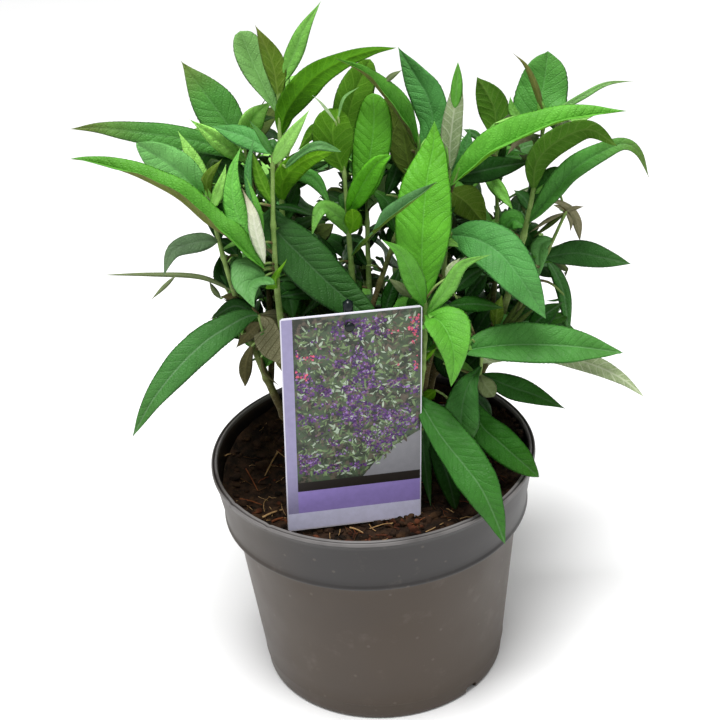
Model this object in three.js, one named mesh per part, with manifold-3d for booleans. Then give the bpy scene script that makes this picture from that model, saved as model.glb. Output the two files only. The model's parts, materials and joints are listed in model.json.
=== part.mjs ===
// Butterfly bush in its nursery pot.
// Millimetres, +Z up. Origin: the centre of the pot's flat underside.
// +X is the plant's right and -Y its front, the side that the label faces.
import * as THREE from 'three';
import { mergeVertices } from 'three/addons/utils/BufferGeometryUtils.js';
import Module from 'manifold-3d';

const wasm = await Module();
wasm.setup();

// ---------------------------------------------------------------- sizes (mm, degrees)
const GAP = 0.35; // clearance kept between two neighbouring solids

const POT = {
  height: 143, rim: 95, rimInner: 91.6, lip: 2.4,
  collarBottom: 107.7, collarOuter: 89.1, bodyTop: 84.1, waist: 73.6, waistHeight: 12, foot: 72.3,
  wall: 1.9, floor: 3, segments: 32,
  notches: [-47, 43, 133], notchWidth: 9, notchHeight: 4.5, notchDepth: 5,
};
const SOIL = { level: 126, centre: 52, edgeDrop: 1.2, lump: 1.5, segments: 32 };
const LABEL = { width: 76, height: 134, thick: 0.9, at: [-12.9, -52.8, 127.8], yaw: 9, roll: -2.7, corner: 1.2, hole: 2.3, holeDown: 8.2, holeSide: -1.2 };
const STAKE = { radius: 2.75, above: 4.6, below: 24, peg: 1.8, head: 2.75, headThick: 1.5, sides: 8 };
const STEM = { foot: 3.3, tip: 1.7, boughFoot: 2.3, boughTip: 1.4, sides: 6, boughSides: 5, rings: 5, boughRings: 4, flare: 1.35 };
const BLADE = { thick: 4.6, widest: 0.42, rings: 4 };
const FRONT = [0, -0.8, 0.6]; // the light that the front shoots turn their blades to

// A shoot grows from its foot: heading, rise above the level, droop of that rise along the way,
// swing of the heading, and length. The foot is in the soil, or on a parent shoot at a share of its length.
// leaf rows: share of the shoot's length, heading, rise, droop, swing, length, width.
// pairs: crossed pairs of leaves: how many, first and last share, heading of the first, rise, droop, length, width.
const SHOOTS = {
  A: { stem: 'stem_front_left', mass: 'foliage_front_left', foot: [-20, -14], grow: [-147, 64, -39, 33, 223], core: [0.70, 11],
    leaves: [[0.71, 152, 54, 35, 49, 124, 14], [0.75, 169, 42, -90, 94, 68, 15], [0.71, 196, 70, 128, 90, 50, 18],
      [1, 144, 40, 44, 9, 37, 13], [0.88, 4, -64, -24, -13, 99, 28]] },
  B: { stem: 'stem_upper_left', mass: 'foliage_upper_left', foot: [-12, 8], grow: [175, 67, -37, 84, 246], core: [0.75, 10],
    leaves: [[1, 344, 54, -8, 1, 52, 11], [0.92, 131, 53, -15, 4, 50, 17], [0.96, 196, 87, 18, 13, 45, 10],
      [0.88, 349, 78, 84, 12, 89, 18], [0.75, 305, 76, 76, 59, 51, 15]] },
  C: { stem: 'stem_left', mass: 'foliage_left', foot: [-34, 2], grow: [-154, 68, -16, -25, 191], core: [0.70, 11],
    leaves: [[1, 201, 60, 22, -4, 54, 22], [1, 164, 77, 16, -16, 42, 11],
      [0.82, 239, 99, 200, -63, 60, 11], [0.71, 150, 17, 28, 28, 79, 9]] },
  D: { stem: 'bough_back_left', mass: 'foliage_back_left', on: 'C', at: 0.375, grow: [72, 60, -22, 58, 140], core: [0.74, 10],
    leaves: [[0.96, 151, 68, 22, 9, 59, 26], [0.92, 193, 33, 29, -9, 99, 16], [0.92, 240, 41, -3, -17, 57, 12]],
    pairs: [1, 0.8, 0.8, 75, 40, 40, 45, 15] },
  E: { stem: 'stem_centre', mass: 'foliage_centre', foot: [-2, 0], grow: [180, 88, -2, 0, 197], core: [0.70, 10],
    leaves: [[1, 231, 43, -77, -15, 35, 22], [0.88, 349, 64, -7, 110, 63, 22], [0.83, 300, 72, 31, 44, 53, 15],
      [1, 94, 66, 15, -86, 62, 22], [0.71, 301, 50, 12, 19, 96, 16]] },
  F: { stem: 'bough_centre_back', mass: 'foliage_centre_back', on: 'E', at: 0.417, grow: [56, 55, -24, -65, 123], core: [0.76, 10],
    leaves: [[1, 236, 66, 29, -42, 83, 12], [0.9, 21, 45, -110, -82, 75, 20], [0.83, 116, 70, -9, -21, 39, 18]] },
  G: { stem: 'stem_front_right', mass: 'foliage_front_right', foot: [14, -20], grow: [-63, 68, -21, 55, 136], core: [0.80, 10],
    leaves: [[1, 83, 75, 15, -19, 96, 31], [0.96, 256, 74, 27, -63, 60, 15], [0.92, 329, 72, 45, 14, 57, 10],
      [0.96, 318, 3, 104, -83, 51, 23]] },
  I: { stem: 'bough_centre_right', mass: 'foliage_centre_right', on: 'G', at: 0.458, grow: [51, 57, -26, 15, 140], core: [0.70, 9],
    leaves: [[1, 278, 77, -5, 48, 60, 14], [0.92, 337, 59, 69, 22, 111, 16], [0.96, 23, -3, 2, -1, 52, 15],
      [0.71, 31, 2, 84, -103, 84, 28]] },
  L: { stem: 'bough_low_right', mass: 'foliage_low_right', on: 'G', at: 0.333, grow: [21, 1, -93, -24, 70], core: [0.62, 9],
    leaves: [[0.92, 48, 11, 35, -82, 91, 22], [0.96, 348, 22, 73, 1, 99, 14], [0.96, 232, -10, 52, 50, 66, 20],
      [0.83, 16, -27, 10, -29, 56, 16], [0.7, 181, -84, 91, -55, 70, 19], [0.66, 247, -41, 9, 70, 93, 24]] },
  H: { stem: 'stem_right', mass: 'foliage_right', foot: [40, 10], grow: [-12, 64, -17, 45, 221], core: [0.71, 11],
    leaves: [[0.96, 86, 64, -9, -59, 42, 28], [1, 247, 75, 25, -52, 45, 9], [1, 351, 35, 27, -1, 52, 9],
      [0.79, 8, 93, 113, -77, 81, 18], [0.71, 52, 59, 67, -127, 99, 17]] },
  J: { stem: 'bough_far_right', mass: 'foliage_far_right', on: 'H', at: 0.292, grow: [14, 56, -2, 19, 105], core: [0.70, 9],
    leaves: [[0.71, 357, 34, 71, -13, 52, 16], [0.71, 352, -43, 50, 60, 55, 9], [1, 60, 62, 10, 10, 32, 13]] },
  K: { stem: 'bough_low_left', mass: 'foliage_low_left', on: 'A', at: 0.375, grow: [137, 57, -25, 98, 50], core: [0.66, 8],
    leaves: [[1, 209, 3, 67, -4, 98, 22], [0.96, 130, 23, 77, 40, 38, 10], [0.92, 118, -35, 20, 32, 38, 13]] },
  P: { stem: 'bough_back_right', mass: 'foliage_back_right', on: 'H', at: 0.208, grow: [46, 53, -41, 48, 160], core: [0.78, 10],
    leaves: [[0.96, 73, 80, 31, 121, 38, 16]], pairs: [1, 0.86, 0.86, 20, 38, 50, 52, 18] },
  M: { stem: 'stem_rear_left', mass: 'foliage_rear_left', foot: [-18, 22], grow: [128, 64, -8, -12, 168], core: [0.66, 11],
    pairs: [2, 0.72, 0.98, 10, 46, 62, 68, 22], light: [-0.3, 0.6, 0.75] },
  N: { stem: 'stem_rear', mass: 'foliage_rear', foot: [6, 30], grow: [98, 66, -6, -20, 162], core: [0.66, 11],
    pairs: [2, 0.72, 0.98, 60, 46, 62, 68, 22], light: [0, 0.6, 0.75] },
  O: { stem: 'stem_rear_right', mass: 'foliage_rear_right', foot: [28, 26], grow: [52, 64, -8, 18, 170], core: [0.66, 11],
    pairs: [2, 0.72, 0.98, 130, 46, 62, 68, 22], light: [0.3, 0.6, 0.75] },
  Q: { stem: 'bough_rear_low_left', mass: 'foliage_rear_low_left', on: 'M', at: 0.25, grow: [172, 40, -26, -10, 92], core: [0.62, 9],
    pairs: [2, 0.72, 1, 110, 22, 62, 58, 19], light: [-0.5, 0.4, 0.75] },
  R: { stem: 'bough_rear_low_right', mass: 'foliage_rear_low_right', on: 'O', at: 0.25, grow: [18, 40, -26, 10, 92], core: [0.62, 9],
    pairs: [2, 0.72, 1, 70, 22, 62, 58, 19], light: [0.5, 0.4, 0.75] },
  S: { stem: 'bough_rear_low', mass: 'foliage_rear_low', on: 'N', at: 0.22, grow: [95, 34, -30, -6, 78], core: [0.6, 9],
    pairs: [2, 0.72, 1, 8, 20, 62, 56, 18], light: [0, 0.6, 0.75] },
};

// ---------------------------------------------------------------- geometry helpers
const rad = (d) => (d * Math.PI) / 180;
const V = (a) => new THREE.Vector3(a[0], a[1], a[2]);

function path(p0, [az, rise, droop, swing, length], n) {
  const out = [p0.clone()];
  for (let i = 0; i < n; i++) {
    const k = (i + 0.5) / n;
    const a = rad(az + swing * k);
    const e = rad(rise - droop * k);
    out.push(out[i].clone().add(new THREE.Vector3(Math.cos(e) * Math.cos(a), Math.cos(e) * Math.sin(a), Math.sin(e)).multiplyScalar(length / n)));
  }
  return out;
}
function along(pts, t) {
  const x = Math.min(Math.max(t, 0), 1) * (pts.length - 1);
  const i = Math.min(Math.floor(x), pts.length - 2);
  return pts[i].clone().lerp(pts[i + 1], x - i);
}
const headingAt = (pts, t) => along(pts, Math.min(t + 0.02, 1)).sub(along(pts, Math.max(t - 0.02, 0))).normalize();

// a closed solid from rings of points; a ring of one point closes to a tip
function loft(rings) {
  const pos = [];
  const idx = [];
  const start = rings.map((r) => { const s = pos.length / 3; r.forEach((p) => pos.push(p.x, p.y, p.z)); return s; });
  for (let k = 0; k + 1 < rings.length; k++) {
    const [a, b] = [rings[k], rings[k + 1]];
    const m = Math.max(a.length, b.length);
    for (let j = 0; j < m; j++) {
      const j1 = (j + 1) % m;
      const A = start[k] + (a.length > 1 ? j : 0), A1 = start[k] + (a.length > 1 ? j1 : 0);
      const B = start[k + 1] + (b.length > 1 ? j : 0), B1 = start[k + 1] + (b.length > 1 ? j1 : 0);
      if (a.length > 1) idx.push(A, A1, B);
      if (b.length > 1) idx.push(A1, B1, B);
    }
  }
  const cap = (k, flip) => {
    const r = rings[k];
    for (let j = 1; j + 1 < r.length; j++) {
      if (flip) idx.push(start[k], start[k] + j + 1, start[k] + j);
      else idx.push(start[k], start[k] + j, start[k] + j + 1);
    }
  };
  cap(0, true);
  cap(rings.length - 1, false);
  return { pos, idx };
}
function solid({ pos, idx }) {
  let vol = 0;
  for (let i = 0; i < idx.length; i += 3) {
    const p = [0, 1, 2].map((k) => new THREE.Vector3(...pos.slice(3 * idx[i + k], 3 * idx[i + k] + 3)));
    vol += p[0].dot(p[1].clone().cross(p[2]));
  }
  const tri = vol < 0 ? idx.map((_, i) => idx[i - (i % 3) + [0, 2, 1][i % 3]]) : idx;
  return new wasm.Manifold(new wasm.Mesh({ numProp: 3, vertProperties: new Float32Array(pos), triVerts: new Uint32Array(tri) }));
}
function fromGeometry(geometry) {
  const g = geometry.clone();
  for (const name of Object.keys(g.attributes)) if (name !== 'position') g.deleteAttribute(name);
  const m = mergeVertices(g, 1e-4);
  return solid({ pos: Array.from(m.attributes.position.array), idx: Array.from(m.index.array) });
}
function toGeometry(manifold) {
  const mesh = manifold.getMesh();
  const g = new THREE.BufferGeometry();
  const n = mesh.numProp;
  const pos = new Float32Array((mesh.vertProperties.length / n) * 3);
  for (let i = 0; i < pos.length / 3; i++) for (let k = 0; k < 3; k++) pos[3 * i + k] = mesh.vertProperties[n * i + k];
  g.setAttribute('position', new THREE.BufferAttribute(pos, 3));
  g.setIndex(new THREE.BufferAttribute(new Uint32Array(mesh.triVerts), 1));
  g.computeVertexNormals();
  return g;
}
function largest(manifold) {
  return manifold.decompose().sort((a, b) => b.volume() - a.volume())[0];
}

// ---------------------------------------------------------------- pot and soil
function potSolid() {
  const P = POT;
  const prof = [
    [0, 0], [P.foot, 0], [P.waist, P.waistHeight], [P.bodyTop, P.collarBottom - 0.6],
    [P.collarOuter, P.collarBottom], [P.rim - 0.7, P.height - P.lip], [P.rim, P.height - 0.8], [P.rim - 0.5, P.height], [P.rimInner, P.height],
    [P.collarOuter - P.wall, P.collarBottom + 3], [P.bodyTop - P.wall, P.collarBottom - 1.5],
    [P.waist - P.wall, P.waistHeight + 0.8], [P.foot - P.wall, P.floor], [0, P.floor],
  ].map(([r, z]) => new THREE.Vector2(r, z));
  let pot = fromGeometry(new THREE.LatheGeometry(prof, P.segments).rotateX(Math.PI / 2));
  for (const turn of P.notches) {
    const a = rad(turn); // a drain notch in the foot of the wall
    const box = new THREE.BoxGeometry(P.notchDepth * 2, P.notchWidth, P.notchHeight * 2);
    box.rotateZ(a);
    box.translate(Math.cos(a) * P.foot, Math.sin(a) * P.foot, 0);
    pot = pot.subtract(fromGeometry(box));
  }
  return pot;
}
function soilSolid() {
  const P = POT;
  const inner = (z) => {
    const rows = [[P.floor, P.foot - P.wall], [P.waistHeight + 0.8, P.waist - P.wall], [P.collarBottom - 1.5, P.bodyTop - P.wall], [P.collarBottom + 3, P.collarOuter - P.wall], [P.height, P.rimInner]];
    for (let i = 0; i + 1 < rows.length; i++) if (z <= rows[i + 1][0]) return rows[i][1] + ((rows[i + 1][1] - rows[i][1]) * (z - rows[i][0])) / (rows[i + 1][0] - rows[i][0]);
    return P.rimInner;
  };
  const g = GAP + 0.1;
  const top = SOIL.level - SOIL.edgeDrop;
  const prof = [[0, P.floor + g], [inner(P.floor) - g - 0.2, P.floor + g], [inner(P.waistHeight + 0.8) - g, P.waistHeight + 1], [inner(P.collarBottom - 1.5) - g, P.collarBottom - 1.8],
    [inner(P.collarBottom + 3) - g - 0.2, P.collarBottom + 2.6], [inner(top) - g - 0.1, top], [74, SOIL.level - 0.4], [SOIL.centre, SOIL.level], [0, SOIL.level]];
  const geo = new THREE.LatheGeometry(prof.map(([r, z]) => new THREE.Vector2(r, z)), SOIL.segments).rotateX(Math.PI / 2);
  const p = geo.attributes.position;
  for (let i = 0; i < p.count; i++) {
    const [x, y, z] = [p.getX(i), p.getY(i), p.getZ(i)];
    const r = Math.hypot(x, y);
    if (z > top - 0.01 && r > SOIL.centre + 1 && r < 80) {
      const th = Math.round((Math.atan2(y, x) / (2 * Math.PI)) * SOIL.segments) * ((2 * Math.PI) / SOIL.segments);
      p.setZ(i, z + SOIL.lump * (0.6 * Math.sin(5 * th + 0.7) + 0.4 * Math.cos(9 * th)));
    }
  }
  return fromGeometry(geo);
}

// ---------------------------------------------------------------- label and its stake
function labelFrame() {
  const [y, r] = [rad(LABEL.yaw), rad(LABEL.roll)];
  const ex = new THREE.Vector3(Math.cos(y), Math.sin(y), 0);
  const ez = new THREE.Vector3(0, 0, 1);
  const a = ex.clone().multiplyScalar(Math.cos(r)).add(ez.clone().multiplyScalar(Math.sin(r)));
  const b = ex.clone().multiplyScalar(-Math.sin(r)).add(ez.clone().multiplyScalar(Math.cos(r)));
  const n = a.clone().cross(b); // out of the face
  return { a, b, n, at: V(LABEL.at), m: new THREE.Matrix4().makeBasis(a, b, n).setPosition(V(LABEL.at)) };
}
function labelShape(grow) {
  const w = LABEL.width / 2 + grow, h = LABEL.height + grow, c = LABEL.corner, b = -grow;
  const s = new THREE.Shape();
  s.moveTo(-w + c, b); s.lineTo(w - c, b); s.lineTo(w, b + c); s.lineTo(w, h - c); s.lineTo(w - c, h); s.lineTo(-w + c, h); s.lineTo(-w, h - c); s.lineTo(-w, b + c);
  s.closePath();
  return s;
}
function labelGeometry(grow, hole) {
  const s = labelShape(grow);
  if (hole) s.holes.push(new THREE.Path().absarc(LABEL.holeSide, LABEL.height - LABEL.holeDown, LABEL.hole, 0, 2 * Math.PI, true));
  return new THREE.ExtrudeGeometry(s, { depth: LABEL.thick + 2 * grow, bevelEnabled: false, curveSegments: 6 }).translate(0, 0, -LABEL.thick / 2 - grow);
}
function stakeParts(grow) {
  const f = labelFrame();
  const back = -(LABEL.thick / 2 + STAKE.radius + 0.5);
  const top = f.at.clone().add(f.b.clone().multiplyScalar(LABEL.height + STAKE.above)).add(f.a.clone().multiplyScalar(LABEL.holeSide)).add(f.n.clone().multiplyScalar(back));
  const low = SOIL.level - STAKE.below - grow;
  const rod = new THREE.CylinderGeometry(STAKE.radius + grow, (STAKE.radius + grow) * 0.8, top.z + grow - low, STAKE.sides).rotateX(Math.PI / 2).translate(top.x, top.y, (top.z + grow + low) / 2);
  const pegLen = STAKE.radius + 0.5 + LABEL.thick + 0.6 + STAKE.headThick;
  const peg = new THREE.CylinderGeometry(STAKE.peg + grow, STAKE.peg + grow, pegLen, 6).rotateX(Math.PI / 2).translate(0, 0, back + pegLen / 2);
  const z0 = LABEL.thick / 2 + 0.5;
  const prof = [[0, z0], [STAKE.head - 0.3, z0], [STAKE.head, z0 + 0.5], [STAKE.head * 0.7, z0 + STAKE.headThick], [0, z0 + STAKE.headThick + 0.3]].map(([r, z]) => new THREE.Vector2(r + (r ? grow : 0), z));
  const head = new THREE.LatheGeometry(prof, STAKE.sides).rotateX(Math.PI / 2);
  for (const g of [peg, head]) { g.translate(LABEL.holeSide, LABEL.height - LABEL.holeDown, 0); g.applyMatrix4(f.m); }
  return fromGeometry(rod).add(fromGeometry(peg)).add(fromGeometry(head));
}

// ---------------------------------------------------------------- shoots
const SIDE = (dir, up) => { const s = dir.clone().cross(up); return s.lengthSq() < 1e-4 ? new THREE.Vector3(1, 0, 0) : s.normalize(); };

function tube(pts, t0, t1, r0, r1, rings, sides, grow, flare) {
  const out = [];
  let u = null;
  for (let k = 0; k <= rings; k++) {
    const t = t0 + ((t1 - t0) * k) / rings;
    const c = along(pts, t);
    let d = headingAt(pts, t);
    if (k === 0 && flare) d = new THREE.Vector3(0, 0, 1); // flat cut at the soil
    if (k === 0) c.add(d.clone().multiplyScalar(-grow));
    if (k === rings) c.add(d.clone().multiplyScalar(grow));
    u = u ? u.clone().sub(d.clone().multiplyScalar(u.dot(d))).normalize() : SIDE(d, new THREE.Vector3(0.3, 1, 0.2));
    const v = d.clone().cross(u);
    const f = flare ? 1 + (flare - 1) * Math.max(0, 1 - k / 1.5) : 1;
    const r = (r0 + (r1 - r0) * (k / rings)) * f + grow;
    out.push(Array.from({ length: sides }, (_, j) => {
      const a = (2 * Math.PI * j) / sides;
      return c.clone().add(u.clone().multiplyScalar(Math.cos(a) * r)).add(v.clone().multiplyScalar(Math.sin(a) * r));
    }));
  }
  return solid(loft(out));
}
// the heart of a mass: the crowded leaf bases round the top of a shoot, uneven and closed to a tip
function core(pts, t0, radius, seed, grow) {
  const rings = 4, sides = 6, out = [];
  let u = null;
  for (let k = 0; k <= rings; k++) {
    const t = t0 + ((1 - t0) * k) / rings;
    const c = along(pts, t);
    const d = headingAt(pts, t);
    if (k === 0) c.add(d.clone().multiplyScalar(-grow));
    u = u ? u.clone().sub(d.clone().multiplyScalar(u.dot(d))).normalize() : SIDE(d, new THREE.Vector3(0.3, 1, 0.2));
    const v = d.clone().cross(u);
    const w = 0.55 + 0.45 * Math.sin(Math.PI * Math.min(1, 0.2 + 0.8 * (k / rings)));
    out.push(Array.from({ length: sides }, (_, j) => {
      const a = (2 * Math.PI * j) / sides;
      const r = radius * w * (1 + 0.2 * Math.sin(3 * a + seed) + 0.14 * Math.cos(2 * a + 2.3 * k + seed)) + grow;
      return c.clone().add(u.clone().multiplyScalar(Math.cos(a) * r)).add(v.clone().multiplyScalar(Math.sin(a) * r));
    }));
  }
  const d = headingAt(pts, 1);
  out.push([along(pts, 1).add(d.multiplyScalar(radius * 0.9 + grow))]);
  return solid(loft(out));
}
// one leaf as a thin lens: narrow foot, widest before the middle, drawn out to a tip
function blade(p0, row, width, light, grow) {
  const pts = path(p0, row, 12);
  const out = [];
  const n = BLADE.rings;
  const across = SIDE(headingAt(pts, 0.5), V(light).normalize());
  for (let k = 0; k < n; k++) {
    const t = [0, 0.2, 0.46, 0.75][k];
    const w = (width / 2) * [0.5, 0.86, 1, 0.66][k] + grow * 4.5;
    const h = (BLADE.thick / 2) * [0.9, 1, 1, 0.7][k] + grow * 2.4;
    const c = along(pts, t);
    const d = headingAt(pts, t);
    if (k === 0) c.add(d.clone().multiplyScalar(-1 - grow));
    const s = across.clone().sub(d.clone().multiplyScalar(across.dot(d))).normalize();
    const up = s.clone().cross(d);
    const base = c.clone().sub(up.clone().multiplyScalar(h * 0.5));
    out.push([base.clone().add(s.clone().multiplyScalar(w)), c.clone().add(up.clone().multiplyScalar(h * 1.5)), base.clone().sub(s.clone().multiplyScalar(w))]);
  }
  const d = headingAt(pts, 1);
  out.push([along(pts, 1).add(d.multiplyScalar(grow * 5))]);
  return solid(loft(out));
}

// every shoot's line, with boughs starting on their parent
const order = Object.keys(SHOOTS);
const lines = {};
for (const k of order) {
  const s = SHOOTS[k];
  const p0 = s.on ? along(lines[s.on], s.at) : new THREE.Vector3(s.foot[0], s.foot[1], SOIL.level + GAP);
  lines[k] = path(p0, s.grow, 24);
}
function leafRows(s) {
  const rows = (s.leaves ?? []).map((r) => ({ t: r[0], grow: r.slice(1, 6), width: r[6] }));
  if (s.pairs) {
    const [n, t0, t1, az, rise, droop, length, width] = s.pairs;
    for (let i = 0; i < n; i++) for (const side of [0, 180]) {
      const k = n > 1 ? i / (n - 1) : 0;
      rows.push({ t: t0 + (t1 - t0) * k, grow: [az + 90 * i + side, rise + 14 * k, droop * (1 - 0.3 * k), 8, length * (1 - 0.28 * k)], width });
    }
  }
  return rows;
}

// stems and boughs end a hair before the mass that they enter
const limbs = {};
const limbHalos = {};
for (const k of order) {
  const s = SHOOTS[k];
  const len = s.grow[4];
  const t1 = s.core[0] - (GAP + 0.1) / len;
  const [r0, r1] = s.on ? [STEM.boughFoot, STEM.boughTip] : [STEM.foot, STEM.tip];
  const rings = s.on ? STEM.boughRings : STEM.rings;
  limbs[k] = tube(lines[k], 0, t1, r0, r1, rings, s.on ? STEM.boughSides : STEM.sides, 0, s.on ? 0 : STEM.flare);
  limbHalos[k] = tube(lines[k], 0, t1, r0, r1, rings, s.on ? STEM.boughSides : STEM.sides, GAP + 0.12, s.on ? 0 : STEM.flare);
  for (const other of order) {
    if (other === k) break;
    limbs[k] = limbs[k].subtract(limbHalos[other]);
  }
  limbs[k] = largest(limbs[k]);
}

const f = labelFrame();
const card = fromGeometry(labelGeometry(0, true).applyMatrix4(f.m));
const cardHalo = fromGeometry(labelGeometry(GAP + 0.1, false).applyMatrix4(f.m));
const stake = stakeParts(0);
const stakeHalo = stakeParts(GAP + 0.1);
const pot = potSolid();
const potHalo = fromGeometry(new THREE.LatheGeometry([[POT.bodyTop, POT.collarBottom], [POT.rim + GAP, POT.collarBottom], [POT.rim + GAP, POT.height + GAP], [POT.rimInner - 1 - GAP, POT.height + GAP], [POT.collarOuter - 4, POT.collarBottom + 4], [POT.bodyTop, POT.collarBottom]].map(([r, z]) => new THREE.Vector2(r, z)), POT.segments).rotateX(Math.PI / 2));
let soil = soilSolid().subtract(cardHalo).subtract(stakeHalo);
soil = largest(soil);
const soilTop = fromGeometry(new THREE.CylinderGeometry(90, 90, 40, 32).rotateX(Math.PI / 2).translate(0, 0, SOIL.level - 20 + SOIL.lump + GAP));

const masses = {};
const massHalos = {};
order.forEach((k, i) => {
  const s = SHOOTS[k];
  const light = s.light ?? FRONT;
  const build = (grow) => {
    let m = core(lines[k], s.core[0], s.core[1], i * 1.7, grow);
    // no two blades spring from quite the same point of the shoot
    leafRows(s).forEach((r, j) => { m = m.add(blade(along(lines[k], r.t - 0.0041 * j), r.grow, r.width * (1 + 0.011 * (j % 3)), light, grow)); });
    return m;
  };
  massHalos[k] = build(GAP + 0.1);
  let m = build(0);
  for (const other of order) {
    if (other === k) break;
    m = m.subtract(massHalos[other]);
  }
  for (const other of order) m = m.subtract(limbHalos[other]);
  m = m.subtract(cardHalo).subtract(stakeHalo).subtract(potHalo).subtract(soilTop);
  masses[k] = largest(m);
});

// ---------------------------------------------------------------- the assembly
const finish = (color, roughness) => new THREE.MeshStandardMaterial({ color, roughness, metalness: 0 });
const potPlastic = finish('#564f4b', 0.55);
const compost = finish('#3a2a20', 0.95);
const cardStock = finish('#b9aede', 0.35);
const stakePlastic = finish('#1b1f33', 0.25);
const bark = finish('#6b7a3c', 0.8);
const leaf = finish('#4aa63a', 0.5);

const bush = new THREE.Group();
function put(name, manifold, material) {
  const mesh = new THREE.Mesh(toGeometry(manifold), material);
  mesh.name = name;
  bush.add(mesh);
}
put('pot', pot, potPlastic);
put('soil', soil, compost);
put('label_card', card, cardStock);
put('label_stake', stake, stakePlastic);
for (const k of order) put(SHOOTS[k].stem, limbs[k], bark);
for (const k of order) put(SHOOTS[k].mass, masses[k], leaf);

export default bush;
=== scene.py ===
"""Butterfly bush in its nursery pot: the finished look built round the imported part."""

import json
import math

import bpy
import numpy as np
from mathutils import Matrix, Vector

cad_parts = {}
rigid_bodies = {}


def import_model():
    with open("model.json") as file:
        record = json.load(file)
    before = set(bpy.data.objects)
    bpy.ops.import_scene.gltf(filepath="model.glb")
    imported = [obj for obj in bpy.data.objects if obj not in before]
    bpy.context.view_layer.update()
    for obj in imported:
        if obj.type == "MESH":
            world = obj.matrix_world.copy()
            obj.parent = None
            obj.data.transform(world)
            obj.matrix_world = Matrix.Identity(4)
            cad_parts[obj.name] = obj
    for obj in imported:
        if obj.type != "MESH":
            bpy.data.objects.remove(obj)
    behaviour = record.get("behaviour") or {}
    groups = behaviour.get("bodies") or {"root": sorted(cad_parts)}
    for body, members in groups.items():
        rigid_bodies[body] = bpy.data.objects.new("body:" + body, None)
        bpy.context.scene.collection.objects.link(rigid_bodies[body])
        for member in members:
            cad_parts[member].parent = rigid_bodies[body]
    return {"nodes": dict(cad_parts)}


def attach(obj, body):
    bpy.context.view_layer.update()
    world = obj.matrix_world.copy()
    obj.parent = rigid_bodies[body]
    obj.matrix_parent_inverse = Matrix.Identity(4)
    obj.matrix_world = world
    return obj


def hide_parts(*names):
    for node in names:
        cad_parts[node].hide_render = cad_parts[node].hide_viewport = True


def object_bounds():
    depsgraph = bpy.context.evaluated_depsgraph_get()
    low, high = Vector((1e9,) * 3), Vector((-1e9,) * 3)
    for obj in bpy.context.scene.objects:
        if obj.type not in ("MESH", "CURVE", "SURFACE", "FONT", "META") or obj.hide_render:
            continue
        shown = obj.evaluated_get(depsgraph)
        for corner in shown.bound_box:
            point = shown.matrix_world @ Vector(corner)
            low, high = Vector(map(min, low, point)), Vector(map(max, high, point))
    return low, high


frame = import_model()
cad_lo, cad_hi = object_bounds()
MM = 0.001
rng = np.random.default_rng(4107)


def rad(d):
    return d * math.pi / 180.0


def unit(v):
    v = np.asarray(v, float)
    n = np.linalg.norm(v, axis=-1, keepdims=True)
    return v / np.maximum(n, 1e-9)


# ------------------------------------------------------------------ camera (mm)
ELEV, ROLL, DIST, FOCAL = rad(29.7), rad(-3.85), 948.0, 1668.0
AIM = np.array([-3.8, 0.0, 203.0])
FW = np.array([0.0, math.cos(ELEV), -math.sin(ELEV)])
_RT = np.array([1.0, 0.0, 0.0])
_UP = np.cross(_RT, FW)
CAM = AIM - FW * DIST
R2 = _RT * math.cos(ROLL) + _UP * math.sin(ROLL)
U2 = -_RT * math.sin(ROLL) + _UP * math.cos(ROLL)


def P(u, v, y):
    """The point at depth y seen at picture place u, v."""
    d = FW * FOCAL + R2 * (u - 360.0) - U2 * (v - 360.0)
    return CAM + (y - CAM[1]) / d[1] * d


def px(p):
    d = np.asarray(p, float) - CAM
    z = d @ FW
    return 360 + FOCAL * (d @ R2) / z, 360 - FOCAL * (d @ U2) / z, z


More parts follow.
